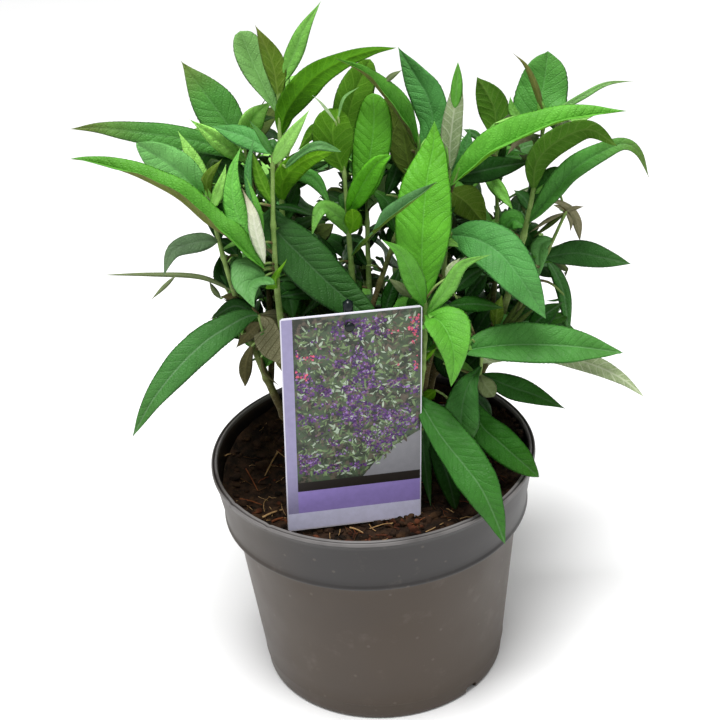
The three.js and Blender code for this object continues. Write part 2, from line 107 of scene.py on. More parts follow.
# ------------------------------------------------------------------ shoots, as in the part
SHOOTS = {
    "A": ("stem_front_left", "foliage_front_left", (-20, -14), (-147, 64, -39, 33, 223), (0.70, 11)),
    "B": ("stem_upper_left", "foliage_upper_left", (-12, 8), (175, 67, -37, 84, 246), (0.75, 10)),
    "C": ("stem_left", "foliage_left", (-34, 2), (-154, 68, -16, -25, 191), (0.70, 11)),
    "D": ("bough_back_left", "foliage_back_left", ("C", 0.375), (72, 60, -22, 58, 140), (0.74, 10)),
    "E": ("stem_centre", "foliage_centre", (-2, 0), (180, 88, -2, 0, 197), (0.70, 10)),
    "F": ("bough_centre_back", "foliage_centre_back", ("E", 0.417), (56, 55, -24, -65, 123), (0.76, 10)),
    "G": ("stem_front_right", "foliage_front_right", (14, -20), (-63, 68, -21, 55, 136), (0.80, 10)),
    "I": ("bough_centre_right", "foliage_centre_right", ("G", 0.458), (51, 57, -26, 15, 140), (0.70, 9)),
    "L": ("bough_low_right", "foliage_low_right", ("G", 0.333), (21, 1, -93, -24, 70), (0.62, 9)),
    "H": ("stem_right", "foliage_right", (40, 10), (-12, 64, -17, 45, 221), (0.71, 11)),
    "J": ("bough_far_right", "foliage_far_right", ("H", 0.292), (14, 56, -2, 19, 105), (0.70, 9)),
    "K": ("bough_low_left", "foliage_low_left", ("A", 0.375), (137, 57, -25, 98, 50), (0.66, 8)),
    "P": ("bough_back_right", "foliage_back_right", ("H", 0.208), (46, 53, -41, 48, 160), (0.78, 10)),
    "M": ("stem_rear_left", "foliage_rear_left", (-18, 22), (128, 64, -8, -12, 168), (0.66, 11)),
    "N": ("stem_rear", "foliage_rear", (6, 30), (98, 66, -6, -20, 162), (0.66, 11)),
    "O": ("stem_rear_right", "foliage_rear_right", (28, 26), (52, 64, -8, 18, 170), (0.66, 11)),
    "Q": ("bough_rear_low_left", "foliage_rear_low_left", ("M", 0.25), (172, 40, -26, -10, 92), (0.62, 9)),
    "R": ("bough_rear_low_right", "foliage_rear_low_right", ("O", 0.25), (18, 40, -26, 10, 92), (0.62, 9)),
    "S": ("bough_rear_low", "foliage_rear_low", ("N", 0.22), (95, 34, -30, -6, 78), (0.6, 9)),
}
SOIL_Z = 126.0


def path(p0, row, n=24):
    az, rise, droop, swing, length = row
    out = [np.array(p0, float)]
    for i in range(n):
        k = (i + 0.5) / n
        a, e = rad(az + swing * k), rad(rise - droop * k)
        out.append(out[-1] + np.array([math.cos(e) * math.cos(a), math.cos(e) * math.sin(a), math.sin(e)]) * length / n)
    return np.array(out)


def along(pts, t):
    x = min(max(t, 0.0), 1.0) * (len(pts) - 1)
    i = min(int(x), len(pts) - 2)
    return pts[i] + (pts[i + 1] - pts[i]) * (x - i)


LINES = {}
for key, (_, _, start, grow, _) in SHOOTS.items():
    p0 = along(LINES[start[0]], start[1]) if isinstance(start[0], str) else (start[0], start[1], SOIL_Z + 0.35)
    LINES[key] = path(p0, grow)


# ------------------------------------------------------------------ mesh building
class Heap:
    """Vertices, faces, face slots and vertex attributes of one piece, added to bit by bit."""

    def __init__(self):
        self.v, self.f, self.s, self.lv, self.tone, self.age, self.n = [], [], [], [], [], [], 0
        self.slots = []

    def slot(self, material):
        if material not in self.slots:
            self.slots.append(material)
        return self.slots.index(material)

    def add(self, verts, faces, material, lv=None, tone=0.0, age=None):
        """faces: int array of 4 columns, a triangle repeats its last corner."""
        verts = np.asarray(verts, float)
        faces = np.asarray(faces, int)
        self.v.append(verts)
        self.f.append(faces + self.n)
        mats = material if isinstance(material, np.ndarray) else np.full(len(faces), self.slot(material))
        self.s.append(mats)
        k = len(verts)
        self.lv.append(np.zeros((k, 3)) if lv is None else lv)
        self.tone.append(np.full(k, float(tone)) if np.isscalar(tone) else tone)
        self.age.append(np.zeros(k) if age is None else age)
        self.n += k

    def build(self, name, materials, smooth=True, attributes=True):
        v = np.vstack(self.v) * MM
        f = np.vstack(self.f)
        s = np.concatenate(self.s)
        tri = f[:, 2] == f[:, 3]
        counts = np.where(tri, 3, 4)
        loops = f[np.arange(4)[None, :] < counts[:, None]]
        mesh = bpy.data.meshes.new(name)
        mesh.vertices.add(len(v))
        mesh.vertices.foreach_set("co", v.astype(np.float32).ravel())
        mesh.loops.add(len(loops))
        mesh.loops.foreach_set("vertex_index", loops.astype(np.int32))
        mesh.polygons.add(len(f))
        mesh.polygons.foreach_set("loop_start", np.r_[0, np.cumsum(counts)[:-1]].astype(np.int32))
        mesh.polygons.foreach_set("loop_total", counts.astype(np.int32))
        mesh.polygons.foreach_set("material_index", s.astype(np.int32))
        mesh.polygons.foreach_set("use_smooth", np.full(len(f), smooth, bool))
        mesh.update(calc_edges=True)
        mesh.validate(verbose=False)
        if attributes:
            a = mesh.attributes.new("lv", "FLOAT_VECTOR", "POINT")
            a.data.foreach_set("vector", np.vstack(self.lv).astype(np.float32).ravel())
            for nm, rows in (("tone", self.tone), ("age", self.age)):
                a = mesh.attributes.new(nm, "FLOAT", "POINT")
                a.data.foreach_set("value", np.concatenate(rows).astype(np.float32))
        for m in self.slots:
            mesh.materials.append(materials[m] if isinstance(m, str) else m)
        obj = bpy.data.objects.new(name, mesh)
        bpy.context.scene.collection.objects.link(obj)
        return obj


def grid_faces(rows, cols, wrap=False, base=0):
    i, j = np.meshgrid(np.arange(rows - 1), np.arange(cols if wrap else cols - 1), indexing="ij")
    j1 = (j + 1) % cols
    return np.stack([base + i * cols + j, base + i * cols + j1, base + (i + 1) * cols + j1, base + (i + 1) * cols + j], -1).reshape(-1, 4)


def spline(pts, n):
    """n + 1 places evenly spaced along a smooth curve through the points, and its length."""
    p = np.asarray(pts, float)
    if len(p) == 2:
        p = np.vstack([p[0], p.mean(0), p[1]])
    ext = np.vstack([2 * p[0] - p[1], p, 2 * p[-1] - p[-2]])
    t = np.linspace(0, 1, 25)[:, None]
    out = []
    for i in range(len(p) - 1):
        a, b, c, d = ext[i : i + 4]
        out.append(0.5 * (2 * b + (c - a) * t + (2 * a - 5 * b + 4 * c - d) * t**2 + (3 * b - a - 3 * c + d) * t**3))
    q = np.vstack(out)
    s = np.r_[0, np.cumsum(np.linalg.norm(np.diff(q, axis=0), axis=1))]
    keep = np.r_[True, np.diff(s) > 1e-7]
    q, s = q[keep], s[keep]
    x = np.linspace(0, s[-1], n + 1)
    return np.stack([np.interp(x, s, q[:, k]) for k in range(3)], 1), float(s[-1])


def ease(values, s):
    """A smooth curve through evenly spaced values."""
    v = np.atleast_1d(np.asarray(values, float))
    if len(v) < 4:
        return np.interp(s, np.linspace(0, 1, len(v)), v)
    x = np.clip(s, 0, 1) * (len(v) - 1)
    i = np.minimum(x.astype(int), len(v) - 2)
    t = x - i
    e = np.r_[2 * v[0] - v[1], v, 2 * v[-1] - v[-2]]
    a, b, c, d = e[i], e[i + 1], e[i + 2], e[i + 3]
    return 0.5 * (2 * b + (c - a) * t + (2 * a - 5 * b + 4 * c - d) * t**2 + (3 * b - a - 3 * c + d) * t**3)


def frames(line, ref):
    """Tangent, and the reference direction made square to it, at each place of a line."""
    t = unit(np.gradient(line, axis=0))
    ref = np.broadcast_to(np.asarray(ref, float), line.shape)
    n = ref - (ref * t).sum(1, keepdims=True) * t
    size = np.linalg.norm(n, axis=1)
    # where the line runs along the reference direction its normal is taken from the neighbours
    w = np.clip((size / np.linalg.norm(ref, axis=1)) ** 2, 1e-4, 1)[:, None]
    n = unit(n) * w
    k = max(1, len(line) // 8)
    pad = np.vstack([np.repeat(n[:1], k, 0), n, np.repeat(n[-1:], k, 0)])
    ker = np.hanning(2 * k + 3)[1:-1]
    sm = np.stack([np.convolve(pad[:, c], ker, "valid") for c in range(3)], 1)
    n = unit(sm - (sm * t).sum(1, keepdims=True) * t)
    return t, n


def tube(heap, pts, r0, r1, material, sides=8, n=None, relief=0.0, nodes=(), tone=0.0, close=True, seed=0.0, flare=0.0, gloss=0):
    """A round shoot along a curve, thickened at its nodes, with fine relief on its skin."""
    n = n or max(4, int(np.linalg.norm(np.diff(np.asarray(pts), axis=0), axis=1).sum() / 2.5))
    line, length = spline(pts, n)
    t, u = frames(line, (0.31, 0.87, 0.23))
    w = np.cross(t, u)
    s = np.linspace(0, 1, n + 1)
    r = r0 + (r1 - r0) * s
    if flare:
        r = r * (1 + flare * np.exp(-s * length / 6.0))
    for c in nodes:
        r = r * (1 + 0.32 * np.exp(-(((s - c) * length / 2.0) ** 2)))
    ang = np.linspace(0, 2 * math.pi, sides, endpoint=False)
    rr = r[:, None] * np.ones(sides)
    if relief:
        a = s[:, None] * length
        rr = rr * (1 + relief * (0.5 * np.sin(5 * ang + 0.5 * np.sin(a * 0.21 + seed)) + 0.3 * np.sin(9 * ang + a * 0.13 + seed) + 0.35 * np.sin(3 * ang + a * 0.9 + 2 * seed) * np.sin(a * 0.37)))
    ring = line[:, None, :] + rr[..., None] * (np.cos(ang)[None, :, None] * u[:, None, :] + np.sin(ang)[None, :, None] * w[:, None, :])
    v = ring.reshape(-1, 3)
    f = grid_faces(n + 1, sides, wrap=True)
    lv = np.stack([np.repeat(s * length, sides), np.tile(ang, n + 1), np.full((n + 1) * sides, seed)], 1)
    if close:
        v = np.vstack([v, line[0] - t[0] * r[0] * 0.4, line[-1] + t[-1] * r[-1] * 0.8])
        lv = np.vstack([lv, lv[:1], lv[-1:]])
        j = np.arange(sides)
        k = (n + 1) * sides
        f = np.vstack([f, np.stack([np.full(sides, k), (j + 1) % sides, j, j], 1), np.stack([np.full(sides, k + 1), n * sides + j, n * sides + (j + 1) % sides, n * sides + (j + 1) % sides], 1)])
    heap.add(v, f, material, lv=lv, tone=tone, age=np.r_[np.repeat(s, sides), [0, 1]] if close else np.repeat(s, sides))


def leaf(heap, line, length, wl, wr, ref, face, top, under, shape=(1.05, 1.45), curl=0.35, cols=8, tone=0.0, tip=0.0, petiole=0.8, wave=0.6, quilt=0.22, teeth=0.03, raw=False, even=False):
    """One closed leaf: two sheets that share their outline, a sunk rib above and a raised one below.
    wl, wr: half-widths left and right of the way it grows, as seen along ref; a negative one folds over towards the viewer."""
    n = len(line) - 1
    s = np.linspace(0, 1, n + 1)
    a, b = shape
    peak = (a / (a + b)) ** a * (b / (a + b)) ** b
    f = np.clip(s, 0, 1) ** a * np.clip(1 - s, 0, 1) ** b / peak
    wl, wr = ease(wl, s), ease(wr, s)
    W = np.maximum(np.abs(wl), np.abs(wr)) / math.cos(rad(12))
    W = np.maximum(W, 0.2)
    phl, phr = np.arccos(np.clip(wl / W, -1, 1)), np.arccos(np.clip(wr / W, -1, 1))
    if even:
        # each half keeps its own width and the same small lean
        share = np.where(np.linspace(-1, 1, 2 * cols + 1)[None, :] > 0, (np.abs(wl) / math.cos(rad(12)) / W)[:, None], (np.abs(wr) / math.cos(rad(12)) / W)[:, None])
        phl = phr = np.full(n + 1, rad(12))
    t, nrm = frames(line, ref)
    left = np.cross(nrm, t)
    up = nrm if face == "T" else -nrm
    sd = rng.random() * 50
    if raw:
        # the widths are the outline itself
        f = np.clip(W / (0.3 * W.max()), 0, 1) * np.clip(12 * (1 - s), 0, 1)
        half = np.maximum(W * np.clip(40 * (1 - s), 0, 1), petiole * (1 - s) ** 0.5 * 0.5 + 0.05)
    else:
        half = np.maximum(W * f, petiole * (1 - s) ** 0.5 * 0.5 + 0.05)
    x = np.linspace(-1, 1, 2 * cols + 1)
    x = np.sign(x) * np.abs(x) ** 1.2
    X = np.abs(x)[None, :]
    ph = np.where(x[None, :] > 0, phl[:, None], phr[:, None])
    sign = np.where(x > 0, 1.0, -1.0)[None, :]
    amm = s * length
    # fine saw teeth at the edge
    saw = teeth * (np.abs(((amm[:, None] / 2.6 + 0.21 * sign) % 1.0) - 0.5) * 2 - 0.5) * (X > 0.93) * (s[:, None] > 0.12) * (s[:, None] < 0.96)
    hw = half[:, None] * X * (1 + saw)
    if even:
        hw = hw * share
    bend = ph - curl * (X - 0.15) * np.minimum(1, half[:, None] / 4)
    # arc from the rib outwards: the half leans by ph and rolls back towards its edge
    pos = line[:, None, :] + (hw * np.cos(bend))[..., None] * sign[..., None] * left[:, None, :] + (hw * np.sin(bend))[..., None] * up[:, None, :]
    env = (f[:, None] > 0.12) * X**1.6
    ripple = wave * env * (np.sin(amm[:, None] / 6.3 + sd + sign * 1.3) + 0.5 * np.sin(amm[:, None] / 3.1 + 2 * sd * sign))
    # the side veins stand at uneven steps along the rib
    along_ = amm[:, None] + 1.3 * np.sin(amm[:, None] / 6.1 + sd) + 0.75 * np.sin(amm[:, None] / 2.9 + 1.7 * sd + 1.3 * sign)
    lat = ((along_ - X * half[:, None] * 0.95) / 5.2 + np.where(sign > 0, 0.0, 0.5)) % 1.0
    pillow = quilt * np.sin(math.pi * lat) ** 0.7 * np.sin(math.pi * np.clip(X, 0, 1)) ** 0.5 * np.minimum(1, half[:, None] / 5)
    ds = np.gradient(pos, axis=0)
    dx = np.gradient(pos, axis=1)
    nn = unit(np.cross(dx, ds))
    flip = np.sign((nn[:, cols] * up).sum(1).mean())
    nn = nn * (flip if flip else 1)
    pos = pos + nn * (ripple + pillow)[..., None]
    thin = (1 - X**4) * np.minimum(1, 12 * s * (1 - s) + 0.02)[:, None]
    rib = np.exp(-((hw / 0.75) ** 2))
    htop = 0.11 * thin - 0.10 * rib * thin
    hbot = 0.11 * thin + (0.42 * rib * (1 - 0.7 * s[:, None]) + 0.08 * np.exp(-(((lat - 0.0) * 5.2 / 0.5) ** 2))) * thin
    topv = pos + nn * htop[..., None]
    botv = pos - nn * hbot[..., None]
    m = 2 * cols + 1
    tv = topv.reshape(-1, 3)
    edge = np.zeros((n + 1, m), bool)
    edge[0], edge[-1], edge[:, 0], edge[:, -1] = True, True, True, True
    tv[edge.ravel()] = pos.reshape(-1, 3)[edge.ravel()]
    index = np.arange((n + 1) * m).reshape(n + 1, m)
    inner = ~edge
    bindex = index.copy()
    bindex[inner] = (n + 1) * m + np.arange(inner.sum())
    verts = np.vstack([tv, botv[inner]])
    q = grid_faces(n + 1, m)
    q = np.vstack([q[:, [0, 1, 2, 2]], q[:, [0, 2, 3, 3]]])
    tf = index.ravel()[q]
    bf = bindex.ravel()[q][:, [2, 1, 0, 0]]
    # the upper sheet faces the leaf's own upper side
    c = np.cross(verts[tf[:, 1]] - verts[tf[:, 0]], verts[tf[:, 2]] - verts[tf[:, 0]])
    if (c * nn.reshape(-1, 3)[tf[:, 0]]).sum() < 0:
        tf, bf = tf[:, [2, 1, 0, 0]], bf[:, [2, 1, 0, 0]]
    lv = np.stack([along_.ravel(), (half[:, None] * x[None, :]).ravel(), np.full((n + 1) * m, sd)], 1)
    lv = np.vstack([lv, lv.reshape(n + 1, m, 3)[inner]])
    age = (tip * np.clip((s - 0.55) / 0.45, 0, 1) ** 1.3)[:, None] * np.ones(m)
    age = np.r_[age.ravel(), age[inner]]
    ts, us = heap.slot(top), heap.slot(under)
    heap.add(verts, np.vstack([tf, bf]), np.r_[np.full(len(tf), ts), np.full(len(bf), us)], lv=lv, tone=tone, age=age)
    return pos


# ------------------------------------------------------------------ leaves placed one by one
# name, shoot, (u, v, y) from base to tip, half-widths left and right of the way, side shown, upper, under, extras
T, U = "T", "U"
# a tone among the extras lightens or darkens a leaf: partly its own green, partly painted light and shade
PLACED = [
    ("L1", "B", [(282, 88, 12), (295, 52, 9), (304, 30, 7), (321, 1, 5)], 9, 8, T, "fresh", "silver", {}),
    ("L2", "B", [(275, 116, 12), (255, 68, 20), (240, 31, 26)], 11, 17, T, "pale", "silver", {"shape": (1.1, 0.45)}),
    ("L3", "B", [(277, 100, 12), (272, 62, 9), (255, 25, 6)], 7, 12, U, "pale", "olive", {"tip": 0.5}),
    ("L4", "B", [(279, 138, 8), (287, 111, 6), (311, 80, 3), (339, 62, 2), (370, 51, 2), (398, 47.5, 2)], [1, 8, 13, 14.5, 13, 11, 8.5, 6, 4, 2, 0], [1, 6, 10.5, 13, 14.5, 13, 10.5, 8, 6, 3, 0], U, "mid", "lime_under", {"raw": True}),
    ("L17", "B", [(287, 204, 0), (284, 180, -3), (305, 160, -6), (341, 149, -10)], 12, 12, U, "mid", "yellow_under", {}),
    ("L17t", "B", [(285, 168, -8), (300, 155, -12), (318, 146, -14), (342, 152, -14)], [1, 3, 4, 4, 4, 4.5, 5, 5, 4, 2.5, 0], [1, 1.5, 2, 2, 2, 2.5, 3.5, 4, 3.5, 2, 0], T, "lightblue", "silver", {"raw": True, "tone": -0.45}),
    ("L60", "B", [(281, 172, 5), (312, 178, 0), (331, 205, -5)], 7, 8, T, "mid", "yellow_under", {"tone": 0.45}),
    ("L9", "A", [(264, 271, -42), (247, 254, -43), (226, 236, -44), (206, 223, -43), (179, 199.5, -42), (152, 184, -40), (125, 172, -38), (91, 162, -36), (70, 159, -34)], [-1, -3, -8, -11, -8, -4, -2], [14, 19, 19, 19, 18, 15], T, "bright", "strip_brown", {"shape": (0.55, 0.8)}),
    ("L13", "A", [(263, 270, -42), (247, 240, -41), (234, 203, -38), (233, 172, -33), (241, 146, -28)], 12, 12, T, "veined", "silver", {}),
    ("L13b", "A", [(250, 206, -34), (248, 170, -31), (254, 137, -28)], 4, 4, T, "blue", "silver", {}),
    ("L14", "A", [(265, 265, -42), (256, 232, -44), (252, 212, -44), (242, 188, -40)], 7, 7, U, "deep", "cream", {"tip": 0.95}),
    ("L14b", "A", [(262, 244, -38), (258, 210, -42), (246, 176, -40)], 4, 4, T, "bright", "silver", {}),
    ("L11b", "A", [(266, 205, -34), (260, 178, -30), (252, 151, -28)], 7, 7, U, "dark", "lime_dark", {}),
    ("L53", "A", [(266, 276, -42), (254, 280, -50), (248, 288, -56), (250, 299, -62), (254.5, 308, -66)], [1, 4, 7, 8.5, 10.5, 12, 10.5, 8.5, 5.5, 3, 0], [1, 14, 20, 24, 27, 21, 14, 8, 5, 2.5, 0], T, "lightblue", "silver", {"raw": True, "tone": -0.42}),
    ("L54", "A", [(277, 290, -40), (276, 277, -46), (287, 259, -48)], [1, 6, 11, 10, 7, 5, 3.5, 2.5, 1.5, 0.8, 0], [1, 3, 4, 4, 3.5, 3, 2.5, 2, 1.5, 0.8, 0], U, "mid", "yellow_under", {"raw": True}),
    ("L15", "A", [(277, 165, -31), (287, 142, -36), (310, 109, -38)], 7.5, 7.5, T, "young", "silver", {"shape": (0.8, 1.3)}),
    ("L16", "A", [(270, 156, -30), (262, 137, -34), (249, 120, -36)], 4, 4, T, "mid", "olive", {}),
    ("L11", "A", [(272, 154, -30), (247, 138, -22), (211, 126, -12)], 10, 11, T, "blue", "silver", {}),
    ("L58", "A", [(268, 207, -30), (273, 223, -28), (282, 237, -28), (302, 257, -29), (325, 280, -31), (356, 307, -34), (395, 338, -38)], 24, 22, T, "deep", "silver", {"quilt": 0.5, "shape": (0.7, 1.1), "tone": -0.4}),
    ("L61", "A", [(272, 206, -30), (292, 208, -26), (315, 216, -22)], 4, 4, T, "shade", "olive_dark", {}),
    ("L62", "A", [(276, 284, -38), (288, 294, -30), (294, 320, -28)], 12, 12, T, "deep", "olive_dark", {}),
    ("L62b", "A", [(280, 296, -34), (321, 293, -26), (300, 318, -24)], 7, 7, T, "shade", "olive_dark", {}),
    ("L8", "C", [(208, 203, -10), (180, 172, -16), (136, 143, -22)], 18, 17, T, "lightblue", "silver", {"shape": (0.9, 0.8)}),
    ("L70b", "C", [(208, 200, -10), (195, 165, -8), (178, 131, -4)], 8, 9, T, "young", "silver", {"tone": 0.2}),
    ("L70", "C", [(211, 203, -10), (207, 180, -14), (222, 159, -16)], 6, 6, U, "mid", "olive", {}),
    ("L70c", "C", [(216, 210, -10), (221, 185, -14), (226, 164, -12)], 6, 6, T, "young", "silver", {"tone": 0.45}),
    ("L55", "C", [(222, 240, -12), (200, 242, -22), (174, 251, -30), (163, 277, -34)], 9, 10, T, "greygreen", "olive", {}),
    ("L56", "C", [(236, 290, -8), (200, 277, 0), (150, 274.5, 6), (103, 275, 12)], 2.6, 2.6, U, "dark", "grey", {"shape": (0.5, 0.9)}),
    ("L56b", "C", [(221, 299, -6), (214, 290, -3), (209, 281, 0)], 3, 3, U, "dark", "grey", {}),
    ("L56c", "C", [(176, 275.4, 3), (163, 288, 4), (151, 300, 5)], 2.2, 2.2, U, "dark", "grey", {"free": True}),
    ("L57", "C", [(234, 288, -6), (223, 272, 6), (222, 250, 14)], 10, 11, T, "shade", "olive_dark", {}),
    ("L77", "C", [(238, 256, 2), (228, 245, 4), (214, 239, 6)], 7, 7, T, "shade", "olive_dark", {}),
    ("L6", "D", [(243, 148, 36), (209, 99, 44), (181, 61, 50)], 20, 21, T, "mid", "olive", {"tip": 0.55}),
    ("L7", "D", [(240, 160, 33), (200, 142, 30), (143, 133, 27), (100, 128, 24), (70, 129, 22)], 12, 12, T, "mid", "olive", {"tip": 0.6, "shape": (0.9, 1.1)}),
    ("L10", "D", [(240, 163, 30), (215, 138, 16), (189, 119, 4)], 8.5, 9.5, T, "young", "silver", {"tone": 0.62, "tip": 0.0}),
    ("L12", "D", [(244, 140, 36), (254, 117, 30), (272, 101, 25)], 9, 12.5, T, "young", "silver", {"tone": 0.3}),
    ("L18", "E", [(345, 173, 0), (335, 150, -4), (333, 128, -6), (341, 109, -4)], 19, 21, U, "mid", "lime_dark", {"shape": (1.0, 0.6)}),
    ("L18t1", "E", [(336, 122, -6), (322, 104, -6), (312, 95, -6)], 1.6, 1.6, T, "wan", "silver", {}),
    ("L18t2", "E", [(338, 118, -6), (344, 98, -6), (359, 87, -6)], 1.6, 1.6, T, "pale", "silver", {}),
    ("L18b", "E", [(346, 166, 0), (320, 130, 6), (297, 151, 4)], 9, 9, U, "deep", "lime_dark", {}),
    ("L19", "E", [(354, 213, 0), (364, 185, 1), (371, 150, 4), (374, 120, 9), (373, 93, 14)], 19, 19, T, "leafy", "silver", {"shape": (0.85, 0.5), "quilt": 0.55}),
    ("L20", "E", [(356, 215, -1), (364, 182, -10), (377, 163, -14), (391, 155, -16)], 8, 13, T, "lime", "silver", {"shape": (0.9, 0.8)}),
    ("L21", "E", [(348, 168, 5), (350, 108, 14), (370, 59, 22)], 16, 18, T, "lime_dark", "olive", {"shape": (1.0, 0.6), "tone": -0.25}),
    ("L59a", "E", [(351, 234, 0), (338, 216, -6), (321, 209, -12), (311, 238, -20)], 8, 9, T, "fresh", "silver", {}),
    ("L59b", "E", [(351, 234, 0), (353, 223, -6), (352, 209, -10)], 9, 9, U, "mid", "yellow_under", {"shape": (1, 0.6), "tone": 0.5}),
    ("L25", "E", [(349, 258, 0), (380, 228, -22), (410, 204, -38), (437, 182, -52)], [4, 5, 3, 11, 13, 12, 8], [-3, -4, -3, -5, -5, -4, -3], T, "bluegrey", "olive", {"shape": (0.5, 0.7)}),
    ("L22", "F", [(416, 147, 20), (402, 122, 14), (385, 98, 7), (362, 73, 1), (333, 57, -5)], [-3, -6, -7, -6, -5, -3], [13, 17, 18, 15, 11, 7], T, "bright", "strip_brown", {"shape": (0.8, 1.0), "tone": -0.12}),
    ("L22b", "F", [(383, 84, 6), (392, 76, 7), (402, 70, 8)], 3, 3, U, "mid", "grey", {}),
    ("L5", "F", [(428, 158, 22), (432, 125, 25), (428, 98, 28), (417, 78, 31), (398, 47, 34)], 17, [16, 16, 15, 13, 12], T, "blue", "silver", {"shape": (1.2, 1.2)}),
    ("L23", "F", [(412, 178, 22), (405, 145, 28), (402, 112, 32)], 15, 16, U, "deep", "olive_deep", {}),
    ("L23b", "F", [(408, 152, 32), (395, 128, 36), (384, 96, 40)], 10, 10, U, "deep", "olive_deep", {}),
    ("L82", "F", [(386, 196, 26), (395, 174, 30), (402, 150, 34)], 7, 7, T, "shade", "olive_dark", {}),
    ("L24", "G", [(425, 303, -38), (422, 265, -35), (423, 225, -28), (427, 180, -18), (433, 148, -9), (434.5, 121, -4)], 28, 28, T, "leafy", "silver", {"quilt": 0.7, "shape": (0.95, 1.1)}),
    ("L40", "G", [(424, 308, -38), (413, 278, -46), (401, 254, -51), (381, 239, -56)], 10, 11, T, "bright", "silver", {}),
    ("L39", "G", [(432, 315, -38), (447, 289, -44), (463, 265, -48), (492, 254, -52)], 7, 8, T, "fresh", "silver", {}),
    ("L41", "G", [(424, 314, -38), (440, 322, -48), (451, 341, -58), (454, 362, -62), (451, 387, -64)], [1, 8, 18, 25, 25, 20, 15, 11, 7.5, 4, 0], [1, 4, 7, 9, 10.5, 10.5, 10, 8, 6, 3, 0], T, "bright", "silver", {"raw": True, "tone": 0}),
    ("L63", "G", [(412, 298, -36), (400, 287, -40), (388, 278, -42)], 5, 5, U, "young", "grey", {}),
    ("L63b", "G", [(446, 279, -36), (452, 268, -38), (460, 258, -40)], 5, 5, U, "young", "silver", {}),
    ("L26", "I", [(448, 172, 4), (450, 148, 3), (452.5, 122, 1), (456, 98, -2), (458, 66, -4)], [1, 5, 8, 9.5, 10, 9.5, 8.5, 7, 5, 3, 0], [1, 5.5, 8.5, 10, 10.5, 10, 9, 7.5, 5.5, 3, 0], U, "bright", "silver_veined", {"raw": True}),
    ("L26t", "I", [(455, 108, -5), (457, 84, -6), (458, 62, -6)], 5.5, 6, T, "bright", "silver", {"shape": (0.7, 1.0), "free": True}),
    ("L30", "I", [(452, 187, 3), (474, 168, -1), (496, 151, -4), (527, 136, -8), (555, 124, -10), (581, 117, -12), (627, 111, -15)], [16, 22, 23, 22, 21, 18], [-5, -6, -7, -6, -5, -3], T, "bright", "yellow_under", {"shape": (0.6, 0.95), "tone": 0.1}),
    ("L35c", "H", [(532, 134, 14), (520, 140, 14), (507, 155, 14)], 4, 4, U, "mid", "tan", {}),
    ("L35", "I", [(452, 178, 3), (490, 169, 14), (533, 161, 24)], 12, 12, T, "shade", "olive_dark", {}),
    ("L35b", "I", [(458, 176, 6), (464, 152, 8), (470, 128, 10)], 9, 9, T, "blue", "silver", {}),
    ("L37", "I", [(451, 190, 3), (468, 204, 12), (487, 228, 16)], 17, 15, U, "dark", "olive", {}),
    ("L38", "I", [(446, 235, -4), (472, 238, -14), (498, 252, -26), (522, 281, -36), (546, 319, -42)], 24, 21, T, "blue", "silver", {"shape": (0.9, 1.1)}),
    ("L27", "P", [(497, 140, 45), (494, 108, 50), (477, 77, 52)], 16, 13, U, "mid", "olive_veined", {"shape": (1.0, 1.1)}),
    ("L27b", "P", [(483, 141, 44), (474, 134, 46), (463, 129, 48)], 4, 4, T, "deep", "grey", {}),
    ("L36", "P", [(484, 177, 44), (496, 186, 40), (513, 210, 30)], [1, 4, 6, 6.5, 6.5, 6, 5.5, 4.5, 3, 1.5, 0], [1, 4, 6.5, 7.5, 7.5, 7, 6, 4.5, 3, 1.5, 0], T, "fresh", "olive", {"raw": True, "tone": 0.6}),
    ("L28", "H", [(538, 128, 18), (540, 105, 22), (544, 83, 26), (548, 51, 30)], [1, 22, 27, 27, 26, 25, 23.5, 21, 17, 11, 0], [1, 16, 23, 25.5, 25.5, 25, 24, 22, 19, 12.5, 0], T, "mid", "silver", {"raw": True, "tone": 0.1}),
    ("L28b", "H", [(524, 126, 18), (513, 111, 20), (510, 96, 22)], 5, 5, T, "fresh", "silver", {}),
    ("L29", "H", [(538, 116, 18), (536, 88, 12), (526, 66, 9), (513, 53, 6)], 3.6, 3.2, U, "fresh", "strip_brown", {"tip": 0.3, "tone": 0}),
    ("L31", "H", [(545, 118, 18), (569, 104, 16), (585, 95, 14), (600, 86.5, 13), (613, 82.5, 12), (634, 81, 10)], 3.4, 3.4, T, "pale", "silver", {"tip": 0.4}),
    ("L32", "H", [(529, 190, 14), (537, 162, 6), (558, 141, 0), (589, 129.5, -8), (617, 146, -12)], 13, 13, U, "blue", "olive_veined", {"shape": (0.8, 0.9)}),
    ("L33", "H", [(523, 226, 12), (548, 199, 9), (574, 170, 6), (603, 152, 3), (624, 144, 1), (639, 153, 0), (649.5, 179, 0)], [14, 14, 13, 10, 10], [6, 6, 7, 9, 11], T, "mid", "olive", {"tip": 0.5}),
    ("L34", "H", [(527, 208, 13), (543, 188, 22), (559, 167, 30)], 10, 11, T, "dark", "grey", {"shape": (1, 0.7)}),
    ("L67b", "H", [(523, 226, 13), (512, 220, 18), (500, 236, 22)], 11, 10, T, "mid", "olive_dark", {"tone": 0.8}),
    ("L79", "H", [(530, 210, 14), (525, 199, 14), (514, 190, 14)], 7, 7, T, "deep", "olive_dark", {}),
    ("L66", "J", [(545, 258, 26), (575, 253, 22), (605, 258, 17), (631, 264, 14)], 13, 13, T, "deep_low", "olive", {"shape": (0.8, 1.1)}),
    ("L67", "J", [(553, 238, 29), (540, 247, 24), (539, 277, 16)], 8, 10, T, "lightblue", "grey", {}),
    ("L65", "J", [(546, 258, 26), (557, 275, 26), (565, 300, 25), (569, 342, 24)], 7, 7, T, "deep", "olive_dark", {"tone": 0.25}),
    ("L65b", "J", [(566, 296, 26), (557, 300, 25), (545, 301, 24)], 1.3, 1.3, T, "dark", "grey", {}),
